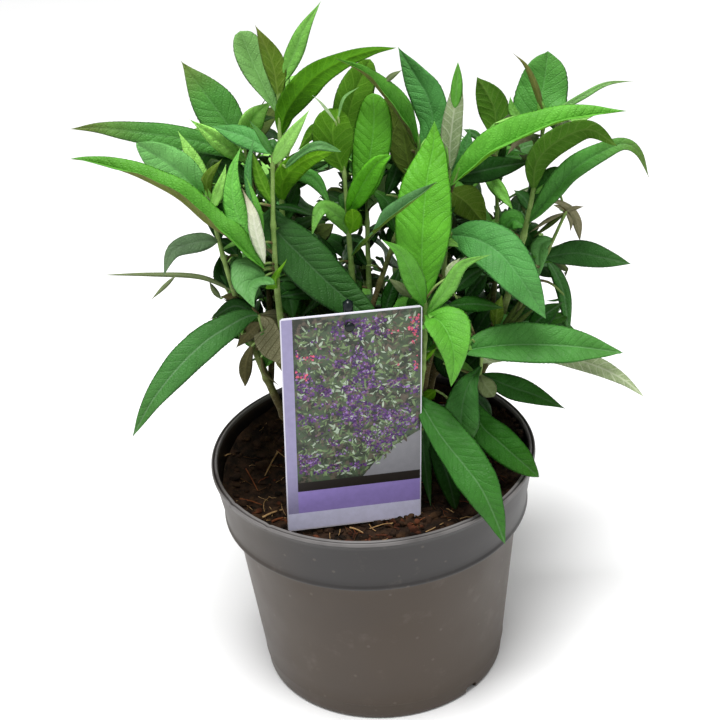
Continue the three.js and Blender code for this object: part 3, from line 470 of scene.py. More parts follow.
    ("L68a", "J", [(551, 201, 26), (561, 203, 28), (571, 210, 30), (577, 222, 30), (580, 241, 28)], [1, 2, 2.6, 3, 3.6, 4.2, 4.6, 4.6, 3.6, 2, 0], [1, 2, 2.6, 3, 3.6, 4.2, 4.6, 4.6, 3.6, 2, 0], U, "young", "tan", {"raw": True}),
    ("L68b", "J", [(567, 212, 30), (575, 208, 27), (584, 206.5, 25)], 2.4, 2.4, U, "young", "tan", {}),
    ("L68c", "J", [(567, 212, 30), (560, 207, 29), (553, 205, 27)], 2, 2, U, "young", "tan", {}),
    ("L68d", "J", [(567, 213, 30), (548, 220, 28), (529, 233, 26)], 2.2, 2.2, U, "young", "tan", {}),
    ("L68f", "J", [(567, 213, 30), (549, 225, 28), (532, 238, 26)], 2.6, 2.6, U, "young", "olive_dark", {}),
    ("L68e", "J", [(567, 212, 30), (571, 222, 29), (570, 232, 28)], 2.2, 2.2, U, "young", "tan", {}),
    ("L42", "L", [(458, 352, -30), (485, 347.5, -28), (512, 345, -28), (545, 345, -30), (578, 347, -32), (624, 353, -34)], [1, 13, 19, 21, 22, 21.5, 20, 17, 12, 6.5, 0], [1, 6, 9, 12, 14, 15, 15, 13, 9, 5, 0], T, "mid_low", "silver", {"raw": True, "tone": 0.12}),
    ("L43", "L", [(482, 358, -18), (500, 356, -19), (530, 354, -22), (555, 355.5, -24), (575, 359.5, -27), (592, 364.5, -29), (608, 371, -31), (626, 381.5, -34), (645, 397.5, -38)], [5, 5, 6, 8, 9, 9.5, 9.5, 8.5, 6, 3, 0], [5, 6, 4, 5, 6.5, 8, 9, 8.7, 6.5, 3.5, 0], U, "mid", "silver_veined", {"raw": True, "tone": -0.2}),
    ("L44", "L", [(484, 375, -22), (510, 386.5, -20), (535, 395, -18), (566, 409, -20)], 12, 12, T, "dark", "olive_dark", {}),
    ("L73", "L", [(436, 350, -10), (448, 366, -8), (470, 380, -6)], 11, 11, T, "shade", "olive_dark", {}),
    ("L74", "L", [(429, 322, -20), (427, 341, -22), (429, 364, -24)], 6, 6, T, "dark", "olive_dark", {}),
    ("L81", "G", [(384, 316, -10), (391, 292, -6), (401, 266, -2)], 8, 8, T, "shade", "olive_dark", {}),
    ("L83", "I", [(464, 300, 0), (476, 286, 2), (489, 269, 4)], 8, 8, T, "shade", "olive_dark", {}),
    ("L84", "E", [(338, 263, 4), (327, 249, 6), (317, 233, 8)], 5.5, 5.5, T, "shade", "olive_dark", {}),
    ("L85", "F", [(367, 266, 10), (359, 254, 12), (353, 240, 14)], 4.5, 4.5, T, "shade", "olive_dark", {}),
    ("L75", "L", [(484, 350, -6), (471, 363, -4), (456, 378, -2)], 9, 9, T, "shade", "olive_dark", {}),
    ("L76", "L", [(474, 336, -4), (484, 318, 0), (496, 303, 4)], 9, 9, T, "shade", "olive_dark", {}),
    ("L48", "L", [(476, 372, -22), (484, 383, -26), (494, 397, -24)], 9, 9, U, "mid", "grey", {"shape": (0.9, 0.7)}),
    ("L46", "L", [(477, 365, -24), (467, 388, -36), (461, 418, -46), (464, 449, -52)], [1.2, 3, 6, 11, 14, 16, 17.5, 18, 17, 11, 0], [1.2, 3.5, 7, 10, 13, 15, 16, 15, 13, 8, 0], T, "deep_low", "silver", {"raw": True, "tone": 0.1}),
    ("L45", "L", [(409, 386, -37), (421, 404, -43), (440, 435, -56), (467, 469, -69), (481, 488, -76), (494, 515, -82), (505.5, 545, -87)], [1.5, 7, 19.5, 23, 23.8, 23.5, 21.8, 17.5, 12, 6.5, 0], [1.5, 5, 9, 11.5, 14.5, 17, 18.5, 17, 12.5, 6.5, 0], T, "deep_bright", "silver", {"raw": True, "even": True, "quilt": 0.4, "tone": -0.26}),
    ("L47", "L", [(476, 405, -24), (482, 426, -30), (498, 441, -36), (516, 457, -42), (539, 477, -46)], 17, 15, T, "dark", "silver", {"shape": (0.8, 0.8), "tone": 0.12}),
    ("L44b", "L", [(478, 396, -22), (485, 408, -18), (492, 420, -14)], 7, 7, T, "shade", "olive_dark", {}),
    ("L49a", "L", [(423, 412, -30), (424, 455, -34), (431, 508, -38)], 7, 7, T, "deep", "olive_dark", {}),
    ("L49b", "L", [(430, 436, -34), (446, 472, -40), (456, 510, -44)], 11, 11, T, "shade", "silver", {"shape": (0.9, 0.8)}),
    ("L71", "L", [(436, 390, -30), (428, 396, -32), (420, 404, -34)], 6, 6, U, "deep", "yellow_under", {}),
    ("L72", "L", [(436, 348, -34), (428, 356, -36), (422, 365, -38)], 2.5, 2.5, U, "mid", "yellow_under", {}),
    ("L64a", "L", [(446, 306, -20), (475, 304, -18), (504, 308, -16)], 8, 8, T, "dark", "olive_dark", {}),
    ("L64b", "L", [(452, 292, -16), (470, 276, -14), (488, 266, -12)], 8, 8, T, "shade", "olive_dark", {}),
    ("L64c", "L", [(496, 328, -14), (497, 312, -12), (502, 295, -10)], 7, 7, U, "mid", "olive", {}),
    ("L64d", "L", [(500, 330, -14), (512, 314, -10), (520, 299, -8)], 3, 3, U, "young", "olive_dark", {}),
    ("L64d2", "L", [(500, 330, -14), (516, 316, -10), (528, 302, -8)], 3, 3, U, "young", "olive_dark", {}),
    ("L64d3", "L", [(501, 331, -14), (520, 320, -10), (536, 307, -8)], 3, 3, U, "young", "olive_dark", {}),
    ("L64e", "L", [(528, 330, -6), (546, 314, -4), (563, 302, -2)], 10, 10, T, "shade", "olive_dark", {}),
    ("L50", "K", [(264, 311, -29), (246, 317, -33), (226, 328, -40), (205, 342, -46), (179, 367, -53), (153, 400, -60), (132.5, 437, -66)], [15, 15.5, 15.5, 13, 11], 16, T, "netted", "silver", {"shape": (0.7, 1.0)}),
    ("L51", "K", [(259, 318, -28), (236, 306, -18), (210, 319, -12)], 8, 8, T, "shade", "olive_dark", {}),
    ("L51b", "K", [(246, 306, -16), (233, 299, -12), (220, 296, -8)], 4, 4, U, "dark", "brown", {}),
    ("L52", "K", [(262, 313, -29), (273, 319, -33), (281, 335, -37), (285, 352, -40), (288, 366, -42)], [1, 4, 6, 8, 9, 10, 10, 9, 7, 4, 0], [1, 12, 20, 24, 26, 27, 26, 24, 19, 11, 0], U, "mid", "grey_veined", {"raw": True}),
    ("K1", "K", [(252, 345, -22), (246, 364, -12), (245, 387, -4)], [1, 2.5, 4, 5, 6, 6.5, 6.5, 6, 4.5, 2.5, 0], [1, 2.5, 4, 5, 6, 6.5, 6.5, 6, 4.5, 2.5, 0], U, "dark", "brown", {"raw": True}),
    ("K2", "K", [(261, 356, -20), (265, 372, -16), (279, 386, -12)], 2, 2, U, "dark", "brown", {}),
    ("K3", "K", [(260, 322, -28), (246, 336, -16), (236, 348, -10)], 8, 8, U, "dark", "brown", {}),
]

# sRGB of plain bases: base, vein, kind, vein strength
PALETTE = {
    # deep_bright, mid_low and deep_low are lighter and darker copies of deep and mid: partly the leaves' own greens,
    # partly painted light and shade
    "deep_bright": ("#2e701a", "#418a2c", "top", 0.45, 0.6),
    "strip_brown": ("#5f6a2c", "#7c7a44", "under", 0.5),
    "olive_deep": ("#42541a", "#58702a", "under", 0.5),
    "bright": ("#52952a", "#3b801c", "top", 0.5),
    "leafy": ("#4f981a", "#3a8010", "top", 0.5),
    "mid_low": ("#377128", "#2a5c1e", "top", 0.5, 0.4),
    "deep_low": ("#245a17", "#1b4a12", "top", 0.6),
    "fresh": ("#68a440", "#4f902e", "top", 0.5),
    "young": ("#86c058", "#649a3a", "top", 0.5),
    "pale": ("#67984e", "#578a40", "top", 0.4),
    "wan": ("#98b482", "#86a470", "top", 0.4),
    "mid": ("#427f2e", "#326a22", "top", 0.5),
    "lime": ("#4f9f0c", "#408a08", "top", 0.5),
    "blue": ("#44843c", "#336f2e", "top", 0.5),
    "lightblue": ("#68a858", "#569449", "top", 0.4),
    "bluegrey": ("#55894f", "#447641", "top", 0.5),
    "greygreen": ("#587450", "#486440", "top", 0.5),
    "deep": ("#2d6220", "#245419", "top", 0.5, 0.35),
    # dark and shade are near-black greens given to leaves inside the crown and behind the front ones: painted shade
    "dark": ("#1b4e08", "#123c05", "top", 0.6),
    "shade": ("#0f3a03", "#0b2c02", "top", 0.5),
    "veined": ("#60a83f", "#357a24", "top", 0.9),
    "netted": ("#2f6424", "#4c7e3c", "top", 0.6, 0.6),
    # lime_under, lime_dark and yellow_under are bright yellow-greens that paint the light shining through the leaf from
    # above
    "lime_under": ("#376a02", "#4e8414", "under", 0.6),
    "lime_dark": ("#467a12", "#68982f", "under", 0.6),
    "yellow_under": ("#4b8006", "#6a9c24", "under", 0.6),
    "olive": ("#56761d", "#7a9440", "under", 0.6),
    "olive_veined": ("#3e6a14", "#64843a", "under", 0.5),
    "olive_dark": ("#34441a", "#485a26", "under", 0.6),
    "silver": ("#a2b083", "#c4ceaa", "under", 0.6),
    "silver_veined": ("#9cb07e", "#ccd7b4", "under", 0.85),
    "cream": ("#dfe6c6", "#f0f2de", "under", 0.6),
    "grey": ("#5f6e44", "#7a8660", "under", 0.6),
    "grey_veined": ("#868464", "#545238", "under", 0.95),
    "tan": ("#7c785a", "#949072", "under", 0.6),
    "brown": ("#4a4829", "#5f5a38", "under", 0.6),
    "reddish": ("#7a5c2e", "#94784a", "under", 0.5),
}


# ------------------------------------------------------------------ materials
def lin(h):
    c = [int(h[i : i + 2], 16) / 255 for i in (1, 3, 5)]
    return tuple([x / 12.92 if x <= 0.04045 else ((x + 0.055) / 1.055) ** 2.4 for x in c] + [1.0])


class Nodes:
    def __init__(self, tree):
        self.t = tree

    def new(self, kind, **values):
        n = self.t.nodes.new(kind)
        for k, v in values.items():
            setattr(n, k, v)
        return n

    def link(self, a, b):
        self.t.links.new(a, b)

    def put(self, socket, v):
        if hasattr(v, "links"):
            self.link(v, socket)
        else:
            socket.default_value = v

    def math(self, op, a, b=0.0, c=0.0, clamp=False):
        n = self.new("ShaderNodeMath", operation=op, use_clamp=clamp)
        for s, v in zip(n.inputs, (a, b, c)):
            self.put(s, v)
        return n.outputs[0]

    def step(self, v, lo, hi, a=0.0, b=1.0):
        n = self.new("ShaderNodeMapRange", interpolation_type="SMOOTHSTEP")
        for s, x in zip(n.inputs, (v, lo, hi, a, b)):
            self.put(s, x)
        return n.outputs[0]

    def mix(self, f, a, b, blend="MIX"):
        n = self.new("ShaderNodeMix", data_type="RGBA", blend_type=blend)
        n.clamp_factor = True
        self.put(n.inputs[0], f)
        self.put(n.inputs[6], a)
        self.put(n.inputs[7], b)
        return n.outputs[2]

    def noise(self, vec, scale, detail=3.0, rough=0.5):
        n = self.new("ShaderNodeTexNoise")
        if vec is not None:
            self.link(vec, n.inputs["Vector"])
        n.inputs["Scale"].default_value = scale
        n.inputs["Detail"].default_value = detail
        n.inputs["Roughness"].default_value = rough
        return n.outputs["Fac"]

    def voronoi(self, vec, scale, feature="DISTANCE_TO_EDGE"):
        n = self.new("ShaderNodeTexVoronoi", feature=feature)
        if vec is not None:
            self.link(vec, n.inputs["Vector"])
        n.inputs["Scale"].default_value = scale
        return n.outputs["Distance"]

    def attr(self, name):
        return self.new("ShaderNodeAttribute", attribute_type="GEOMETRY", attribute_name=name)


def material(name):
    m = bpy.data.materials.new(name)
    m.use_nodes = True
    m.node_tree.nodes.clear()
    g = Nodes(m.node_tree)
    out = g.new("ShaderNodeOutputMaterial")
    b = g.new("ShaderNodeBsdfPrincipled")
    g.link(b.outputs[0], out.inputs[0])
    return m, g, b


def bump(g, b, height, strength, distance):
    n = g.new("ShaderNodeBump")
    n.inputs["Strength"].default_value = strength
    n.inputs["Distance"].default_value = distance
    g.link(height, n.inputs["Height"])
    g.link(n.outputs[0], b.inputs["Normal"])


def leaf_material(name, base, vein, kind, strength, ribbed=0.2):
    m, g, b = material("leaf_" + name)
    at = g.attr("lv")
    sep = g.new("ShaderNodeSeparateXYZ")
    g.link(at.outputs["Vector"], sep.inputs[0])
    a, x = sep.outputs[0], sep.outputs[1]
    ax = g.math("ABSOLUTE", x)
    # a little wander in the side veins
    wob = g.math("MULTIPLY", g.math("SUBTRACT", g.noise(at.outputs["Vector"], 0.12, 2.0), 0.5), 2.2)
    rib = g.step(ax, 0.18, 0.75, 1.0, 0.0)
    side = g.math("MULTIPLY", g.math("GREATER_THAN", x, 0.0), 0.5)
    ph = g.math("ADD", g.math("DIVIDE", g.math("ADD", g.math("SUBTRACT", a, g.math("MULTIPLY", ax, 0.95)), wob), 5.2), side)
    d = g.math("MULTIPLY", g.math("ABSOLUTE", g.math("SUBTRACT", g.math("FRACT", ph), 0.5)), 3.9)
    lat = g.step(d, 0.10, 0.42, 1.0, 0.0)
    cell = g.voronoi(at.outputs["Vector"], 0.78)
    net = g.step(cell, 0.02, 0.16, 1.0, 0.0)
    pillow = g.step(cell, 0.0, 0.42)
    fine = g.noise(at.outputs["Vector"], 1.3, 3.0, 0.6)
    broad = g.noise(at.outputs["Vector"], 0.09, 3.0, 0.5)
    tone = g.attr("tone").outputs["Fac"]
    age = g.attr("age").outputs["Fac"]
    bc, vc = lin(base), lin(vein)
    light = tuple([min(1.0, c * 1.22 + 0.01) for c in bc[:3]] + [1.0])
    deep = tuple([c * 0.74 for c in bc[:3]] + [1.0])
    col = g.mix(g.step(broad, 0.3, 0.7), deep, light)
    col = g.mix(0.45, col, bc)
    if kind == "top":
        # the lighter flecks and the lighter centres of the puckers are painted highlights
        col = g.mix(g.math("MULTIPLY", g.step(fine, 0.52, 0.72), 0.28), col, tuple([min(1.0, c * 1.5 + 0.03) for c in bc[:3]] + [1.0]))
        col = g.mix(g.math("MULTIPLY", pillow, 0.22), col, tuple([min(1.0, c * 1.35 + 0.015) for c in bc[:3]] + [1.0]))
        veins = g.math("MAXIMUM", g.math("MULTIPLY", lat, 0.5), g.math("MULTIPLY", net, 0.5))
        veins = g.math("MULTIPLY", veins, g.step(g.noise(at.outputs["Vector"], 0.16, 2.0, 0.5), 0.36, 0.6, 0.4, 1.0))
        col = g.mix(g.math("MULTIPLY", veins, strength), col, vc)
        pale = tuple([min(1.0, c * 1.25 + 0.10) for c in bc[:3]] + [1.0])
        col = g.mix(g.math("MULTIPLY", rib, ribbed), col, pale)
    else:
        col = g.mix(g.math("MULTIPLY", g.step(fine, 0.45, 0.7), 0.3), col, deep)
        veins = g.math("MAXIMUM", g.math("MAXIMUM", g.math("MULTIPLY", lat, 0.9), g.math("MULTIPLY", net, 0.4)), rib)
        col = g.mix(g.math("MULTIPLY", veins, strength), col, vc)
    old = lin("#6a5426") if kind == "top" else lin("#6a5a30")
    col = g.mix(age, col, old)
    # tone is dealt leaf by leaf: a small random step on every leaf, and on the placed leaves a set offset that is
    # partly the leaf's own green and partly painted light and shade
    hsv = g.new("ShaderNodeHueSaturation")
    g.link(col, hsv.inputs["Color"])
    g.link(g.math("ADD", tone, 1.0), hsv.inputs["Value"])
    g.link(hsv.outputs[0], b.inputs["Base Color"])
    b.inputs["Roughness"].default_value = 0.52 if kind == "top" else 0.85
    b.inputs["Specular IOR Level"].default_value = (0.08 if name in ("dark", "shade") else 0.22) if kind == "top" else 0.06
    if kind == "under":
        b.inputs["Sheen Weight"].default_value = 0.03
        b.inputs["Sheen Roughness"].default_value = 0.5
    if kind == "top":
        h = g.math("SUBTRACT", g.math("ADD", g.math("MULTIPLY", fine, 0.4), g.math("MULTIPLY", pillow, 0.8)), g.math("MULTIPLY", lat, 0.7))
        bump(g, b, h, 0.7, 0.32 * MM)
    else:
        h = g.math("SUBTRACT", g.math("MAXIMUM", g.math("MULTIPLY", lat, 0.9), g.math("MULTIPLY", net, 0.6)), g.math("MULTIPLY", fine, 0.35))
        bump(g, b, h, 0.55, 0.35 * MM)
    return m


def bark_material():
    m, g, b = material("bark")
    age = g.attr("age").outputs["Fac"]
    at = g.attr("lv")
    n1 = g.noise(at.outputs["Vector"], 1.1, 4.0, 0.6)
    n2 = g.noise(at.outputs["Vector"], 0.16, 3.0, 0.5)
    col = g.mix(g.step(n2, 0.35, 0.65), lin("#4a4026"), lin("#615832"))
    green = g.mix(g.step(n2, 0.35, 0.65), lin("#6d8a44"), lin("#88a35c"))
    col = g.mix(g.step(g.math("ADD", age, g.math("MULTIPLY", g.math("SUBTRACT", n2, 0.5), 0.3)), 0.25, 0.75), col, green)
    # the pale flecks stand for the stems' pale hairs and are partly painted highlight
    col = g.mix(g.math("MULTIPLY", g.step(n1, 0.55, 0.7), 0.3), col, lin("#b9c29a"))
    g.link(col, b.inputs["Base Color"])
    b.inputs["Roughness"].default_value = 0.8
    b.inputs["Specular IOR Level"].default_value = 0.2
    bump(g, b, n1, 0.6, 0.4 * MM)
    return m


def plastic_material(name, base, rough, spec, mottling=0.06, grain=900.0, scuffs=None, paler_body_and_painted_sheen=None, within=None):
    m, g, b = material(name)
    geo = g.new("ShaderNodeNewGeometry")
    pos = geo.outputs["Position"]
    broad = g.noise(pos, 22.0, 3.0)
    fine = g.noise(pos, grain, 2.0, 0.6)
    bc = lin(base)
    col = g.mix(broad, tuple([c * (1 - mottling * 2) for c in bc[:3]] + [1.0]), tuple([min(1.0, c * (1 + mottling * 2)) for c in bc[:3]] + [1.0]))
    if paler_body_and_painted_sheen:
        # the body below the collar is a paler brown in patches, and the collar takes the same paler brown, most on its
        # left side: a painted sheen of the light from the left
        sep = g.new("ShaderNodeSeparateXYZ")
        g.link(pos, sep.inputs[0])
        low = g.step(sep.outputs[2], 0.1065, 0.1085, 1.0, 0.0)
        side = g.step(sep.outputs[0], -0.085, -0.03, 0.75, 0.12)
        amount = g.math("MULTIPLY", g.math("MAXIMUM", low, side), g.step(g.noise(pos, 14.0, 4.0), 0.15, 0.6, 0.75, 1.0))
        col = g.mix(amount, col, lin(paler_body_and_painted_sheen))
    if scuffs:
        # dusty streaks and small pale marks of handling
        dust = g.step(g.noise(pos, 55.0, 5.0, 0.65), 0.56, 0.74)
        col = g.mix(g.math("MULTIPLY", dust, 0.35), col, lin(scuffs))
        spots = g.step(g.voronoi(pos, 90.0, "F1"), 0.06, 0.12, 1.0, 0.0)
        col = g.mix(g.math("MULTIPLY", spots, 0.5), col, lin(scuffs))
    if within:
        # the inside of the wall is painted near-black with soil-brown mottling: painted shade in the hollow of the pot
        sep2 = g.new("ShaderNodeSeparateXYZ")
        g.link(pos, sep2.inputs[0])
        r = g.math("SQRT", g.math("ADD", g.math("MULTIPLY", sep2.outputs[0], sep2.outputs[0]), g.math("MULTIPLY", sep2.outputs[1], sep2.outputs[1])))
        wall = g.math("ADD", g.math("MULTIPLY", g.math("SUBTRACT", sep2.outputs[2], 0.1107), 0.133), 0.0879)
        inner = g.step(g.math("SUBTRACT", r, wall), 0.0, 0.0006, 1.0, 0.0)
        inner = g.math("MULTIPLY", inner, g.step(sep2.outputs[2], 0.1375, 0.1412, 1.0, 0.0))
        inner = g.math("MULTIPLY", inner, g.step(sep2.outputs[2], 0.1088, 0.1100))
        col = g.mix(inner, col, g.mix(g.step(g.noise(pos, 160.0, 4.0), 0.4, 0.65), lin("#0b0806"), lin("#1c140d")))
        # the top of the rim is lightened to a pale grey in patches: a painted highlight along the lip
        lip = g.math("MULTIPLY", g.step(sep2.outputs[2], 0.1409, 0.1414), g.step(g.noise(pos, 40.0, 3.0), 0.3, 0.6, 0.35, 0.9))
        col = g.mix(lip, col, lin("#6f6c6b"))
    g.link(col, b.inputs["Base Color"])
    g.link(g.step(broad, 0.2, 0.8, rough - 0.06, rough + 0.08), b.inputs["Roughness"])
    b.inputs["Specular IOR Level"].default_value = spec
    bump(g, b, fine, 0.15, 0.2 * MM)
    return m


def soil_material(name, dark, light, extra):
    m, g, b = material(name)
    pos = g.new("ShaderNodeNewGeometry").outputs["Position"]
    n1 = g.noise(pos, 120.0, 5.0, 0.65)
    n2 = g.noise(pos, 700.0, 4.0, 0.7)
    col = g.mix(g.step(n1, 0.35, 0.68), lin(dark), lin(light))
    col = g.mix(g.math("MULTIPLY", g.step(n2, 0.6, 0.72), 0.5), col, lin(extra))
    g.link(col, b.inputs["Base Color"])
    b.inputs["Roughness"].default_value = 0.95
    b.inputs["Specular IOR Level"].default_value = 0.12
    bump(g, b, n2, 0.9, 1.2 * MM)
    return m


MAT = {k: leaf_material(k, *v) for k, v in PALETTE.items()}
MAT["bark"] = bark_material()

# ------------------------------------------------------------------ hero leaves
masses = {k: Heap() for k in SHOOTS}
twigs = Heap()
DENSE = {k: spline(LINES[k], 200)[0] for k in SHOOTS}
hero_pts, hero_edge = [], []
for name, key, rows, wl, wr, face, top, under, extra in PLACED:
    extra = dict(extra)
    extra.pop("rib", None)
    pts = [P(*r) for r in rows]
    # the foot of the leaf sits on its shoot
    du, dv, dz = px(DENSE[key])
    d2 = (du - rows[0][0]) ** 2 + (dv - rows[0][1]) ** 2 + (0.35 * np.linalg.norm(DENSE[key] - pts[0], axis=1)) ** 2
    foot = DENSE[key][int(np.argmin(d2))]
    gap = float(np.linalg.norm(foot - pts[0]))
    if extra.get("free"):
        pass
    elif gap < 7.0:
        pts[0] = foot
    else:
        mid = (foot + pts[0]) / 2 + np.array([0, 0, min(4.0, gap * 0.12)])
        tube(twigs, [foot, mid, pts[0] + (pts[1] - pts[0]) * 0.04], 0.85, 0.6, "bark", sides=7, n=max(4, int(gap / 3)), tone=0.0, seed=gap)
    rough_len = np.linalg.norm(np.diff(np.array(pts), axis=0), axis=1).sum()
    n = int(np.clip(rough_len / 1.15, 14, 100))
    line, length = spline(pts, n)
    depth = float(np.mean((line - CAM) @ FW))
    k = depth / FOCAL
    wmm = max(np.max(np.abs(wl)), np.max(np.abs(wr))) * k
    cols = int(np.clip(wmm / 1.1, 3, 14))
    pos = leaf(masses[key], line, length, np.asarray(wl, float) * k, np.asarray(wr, float) * k, CAM - line, face, top, under, cols=cols, tone=float(rng.normal(0, 0.05)) + extra.get("tone", 0.0), raw=extra.get("raw", False), even=extra.get("even", False),
               curl=extra.get("curl", 0.3), tip=extra.get("tip", 0.05), shape=extra.get("shape", (1.0, 1.35)), quilt=extra.get("quilt", 0.28), wave=min(0.5, 0.05 * wmm))
    hero_pts.append(pos.reshape(-1, 3))

# ------------------------------------------------------------------ soft random height
def lattice_noise(x, y, size, seed):
    g = np.random.default_rng(seed).random((64, 64))
    xs, ys = np.asarray(x) / size + 31.7, np.asarray(y) / size + 17.3
    i, j = np.floor(xs).astype(int), np.floor(ys).astype(int)
    fx, fy = xs - i, ys - j
    fx, fy = fx * fx * (3 - 2 * fx), fy * fy * (3 - 2 * fy)
    a, b = g[i % 64, j % 64], g[(i + 1) % 64, j % 64]
    c, d = g[i % 64, (j + 1) % 64], g[(i + 1) % 64, (j + 1) % 64]
    return (a * (1 - fx) + b * fx) * (1 - fy) + (c * (1 - fx) + d * fx) * fy


def fbm(x, y, size, seed, steps=4):
    out, amp, total = 0.0, 1.0, 0.0
    for k in range(steps):
        out = out + amp * lattice_noise(x, y, size / 2**k, seed + k)
        total += amp
        amp *= 0.55
    return out / total


# ------------------------------------------------------------------ pot
def pot_inner(z):
    return float(np.interp(z, [3, 12.8, 106.2, 110.7, 141.5], [70.4, 71.7, 82.2, 87.2, 91.3]))


POT_PROFILE = [
    (0, 0), (30, 0), (60, 0), (70.8, 0), (71.9, 0.3), (72.5, 1.3), (72.8, 4), (73.2, 8), (73.45, 10.4), (73.95, 10.9), (74.0, 11.8), (73.9, 13), (74.9, 22), (76.0, 32),
    (77.1, 42), (78.2, 52), (79.3, 62), (80.4, 72), (81.5, 82), (82.6, 92), (83.5, 100), (84.0, 104.8), (84.5, 106.4), (85.6, 107.2), (87.4, 107.4), (88.9, 107.5), (89.8, 107.9), (90.15, 108.6),
    (90.1, 109.5), (89.6, 110.3), (89.45, 111.2), (89.7, 114), (90.6, 120), (91.6, 126), (92.6, 132), (93.5, 137.6), (94.0, 139.6), (94.7, 140.3), (95.0, 141.2), (94.95, 142.1), (94.6, 142.8), (94.2, 142.95), (93.95, 142.5),
    (93.75, 141.3), (93.45, 140.8), (93.15, 141.3), (92.95, 142.7), (92.4, 143.2), (91.8, 143.2), (91.4, 142.7), (91.25, 141.5), (90.6, 136), (89.8, 130), (88.9, 122), (87.9, 115), (87.2, 110.7),
    (84.6, 108.6), (82.2, 106.2), (80.0, 86), (77.6, 62), (75.0, 40), (71.7, 12.8), (70.4, 3.0), (40, 3.0), (0, 3.0),
]


def build_pot():
    seg = 240
    prof = np.array(POT_PROFILE, float)
    heap = Heap()
    th = np.linspace(0, 2 * math.pi, seg, endpoint=False)
    r = prof[1:-1, 0][:, None] * np.ones(seg)
    z = prof[1:-1, 1][:, None] * np.ones(seg)
    # thin walls are never quite round
    r = r + 0.18 * (z / 143) * np.sin(3 * th + 0.6)[None, :] + 0.10 * np.sin(7 * th + 1.3)[None, :] * (z / 143)
    outer = r > np.array([pot_inner(v) for v in prof[1:-1, 1]])[:, None] + 1.2
    r = r + np.where(outer & (z > 14) & (z < 138), 0.05 * (fbm(th * 60, z[:, :1] + 0 * th, 9, 5) - 0.5), 0)
    # two nicks in the rim and a few dents
    for u, v, depth, wide in ((233.5, 504, 0.9, 0.018), (267.5, 526.5, 0.7, 0.014), (471, 520, 0.4, 0.03)):
        q = P(u, v, -60)
        for y in np.linspace(-95, 0, 60):
            q2 = P(u, v, y)
            if q2[2] <= 143:
                q = q2
                break
        a = math.atan2(q[1], q[0])
        dth = np.abs((th - a + math.pi) % (2 * math.pi) - math.pi)
        z = z - np.where(z > 141.0, depth * np.exp(-((dth / wide) ** 2))[None, :], 0)
    v = np.stack([r * np.cos(th), r * np.sin(th), z], -1).reshape(-1, 3)
    n = len(prof) - 2
    f = grid_faces(n, seg, wrap=True)
    v = np.vstack([v, [0, 0, 0], [0, 0, 3.0]])
    j = np.arange(seg)
    f = np.vstack([f, np.stack([np.full(seg, n * seg), (j + 1) % seg, j, j], 1), np.stack([np.full(seg, n * seg + 1), (n - 1) * seg + j, (n - 1) * seg + (j + 1) % seg, (n - 1) * seg + (j + 1) % seg], 1)])
    heap.add(v, f, "pot")
    pot = heap.build("pot_body", MAT, attributes=False)
    # drain notches cut through the foot of the wall
    for k, turn in enumerate((-47, 43, 133)):
        a = rad(turn)
        w, h, d = 9.0, 4.5, 5.0
        pts = []
        for dx in (-d, 6.0):
            for yy, zz in ((-w / 2, -2), (w / 2, -2), (w / 2, h - 1.2), (w / 2 - 1.4, h), (-w / 2 + 1.4, h), (-w / 2, h - 1.2)):
                x = 72.3 + dx
                pts.append(((x * math.cos(a) - yy * math.sin(a)) * MM, (x * math.sin(a) + yy * math.cos(a)) * MM, zz * MM))
        faces = [(5, 4, 3, 2, 1, 0), (6, 7, 8, 9, 10, 11)] + [(q, (q + 1) % 6, 6 + (q + 1) % 6, 6 + q) for q in range(6)]
        mesh = bpy.data.meshes.new("cutter")
        mesh.from_pydata(pts, [], faces)
        mesh.materials.append(MAT["pot"])
        cutter = bpy.data.objects.new("cutter", mesh)
        bpy.context.scene.collection.objects.link(cutter)
        mod = pot.modifiers.new("cut", "BOOLEAN")
        mod.operation, mod.object, mod.solver = "DIFFERENCE", cutter, "EXACT"
        dg = bpy.context.evaluated_depsgraph_get()
        done = bpy.data.meshes.new_from_object(pot.evaluated_get(dg))
        pot.modifiers.clear()
        pot.data = done
        bpy.data.objects.remove(cutter)
    for poly in pot.data.polygons:
        poly.use_smooth = True
    pot.data.set_sharp_from_angle(angle=rad(38))
    return pot


# ------------------------------------------------------------------ soil
def soil_height(x, y):
    x, y = np.asarray(x, float), np.asarray(y, float)
    r, a = np.hypot(x, y), np.degrees(np.arctan2(y, x))
    edge = np.clip((r - 60) / 28, 0, 1) ** 1.7
    # heaped against the wall at the back and the two sides, level in front
    away = np.clip(0.62 + 0.6 * np.sin(np.radians(a + 25)), 0, 1)
    base = SOIL_Z - 1.0 + 12.0 * edge * away + 1.2 * edge
    rough = 4.2 * (fbm(x, y, 22, 11, 5) - 0.5) + 1.6 * (fbm(x, y, 5.5, 23, 4) - 0.5)
    card = np.exp(-(((x + 12.9) / 42) ** 4) - (((y + 52.8 + 0.158 * -(x + 12.9)) / 7) ** 2))
    return base + rough * (1 - 0.7 * card)


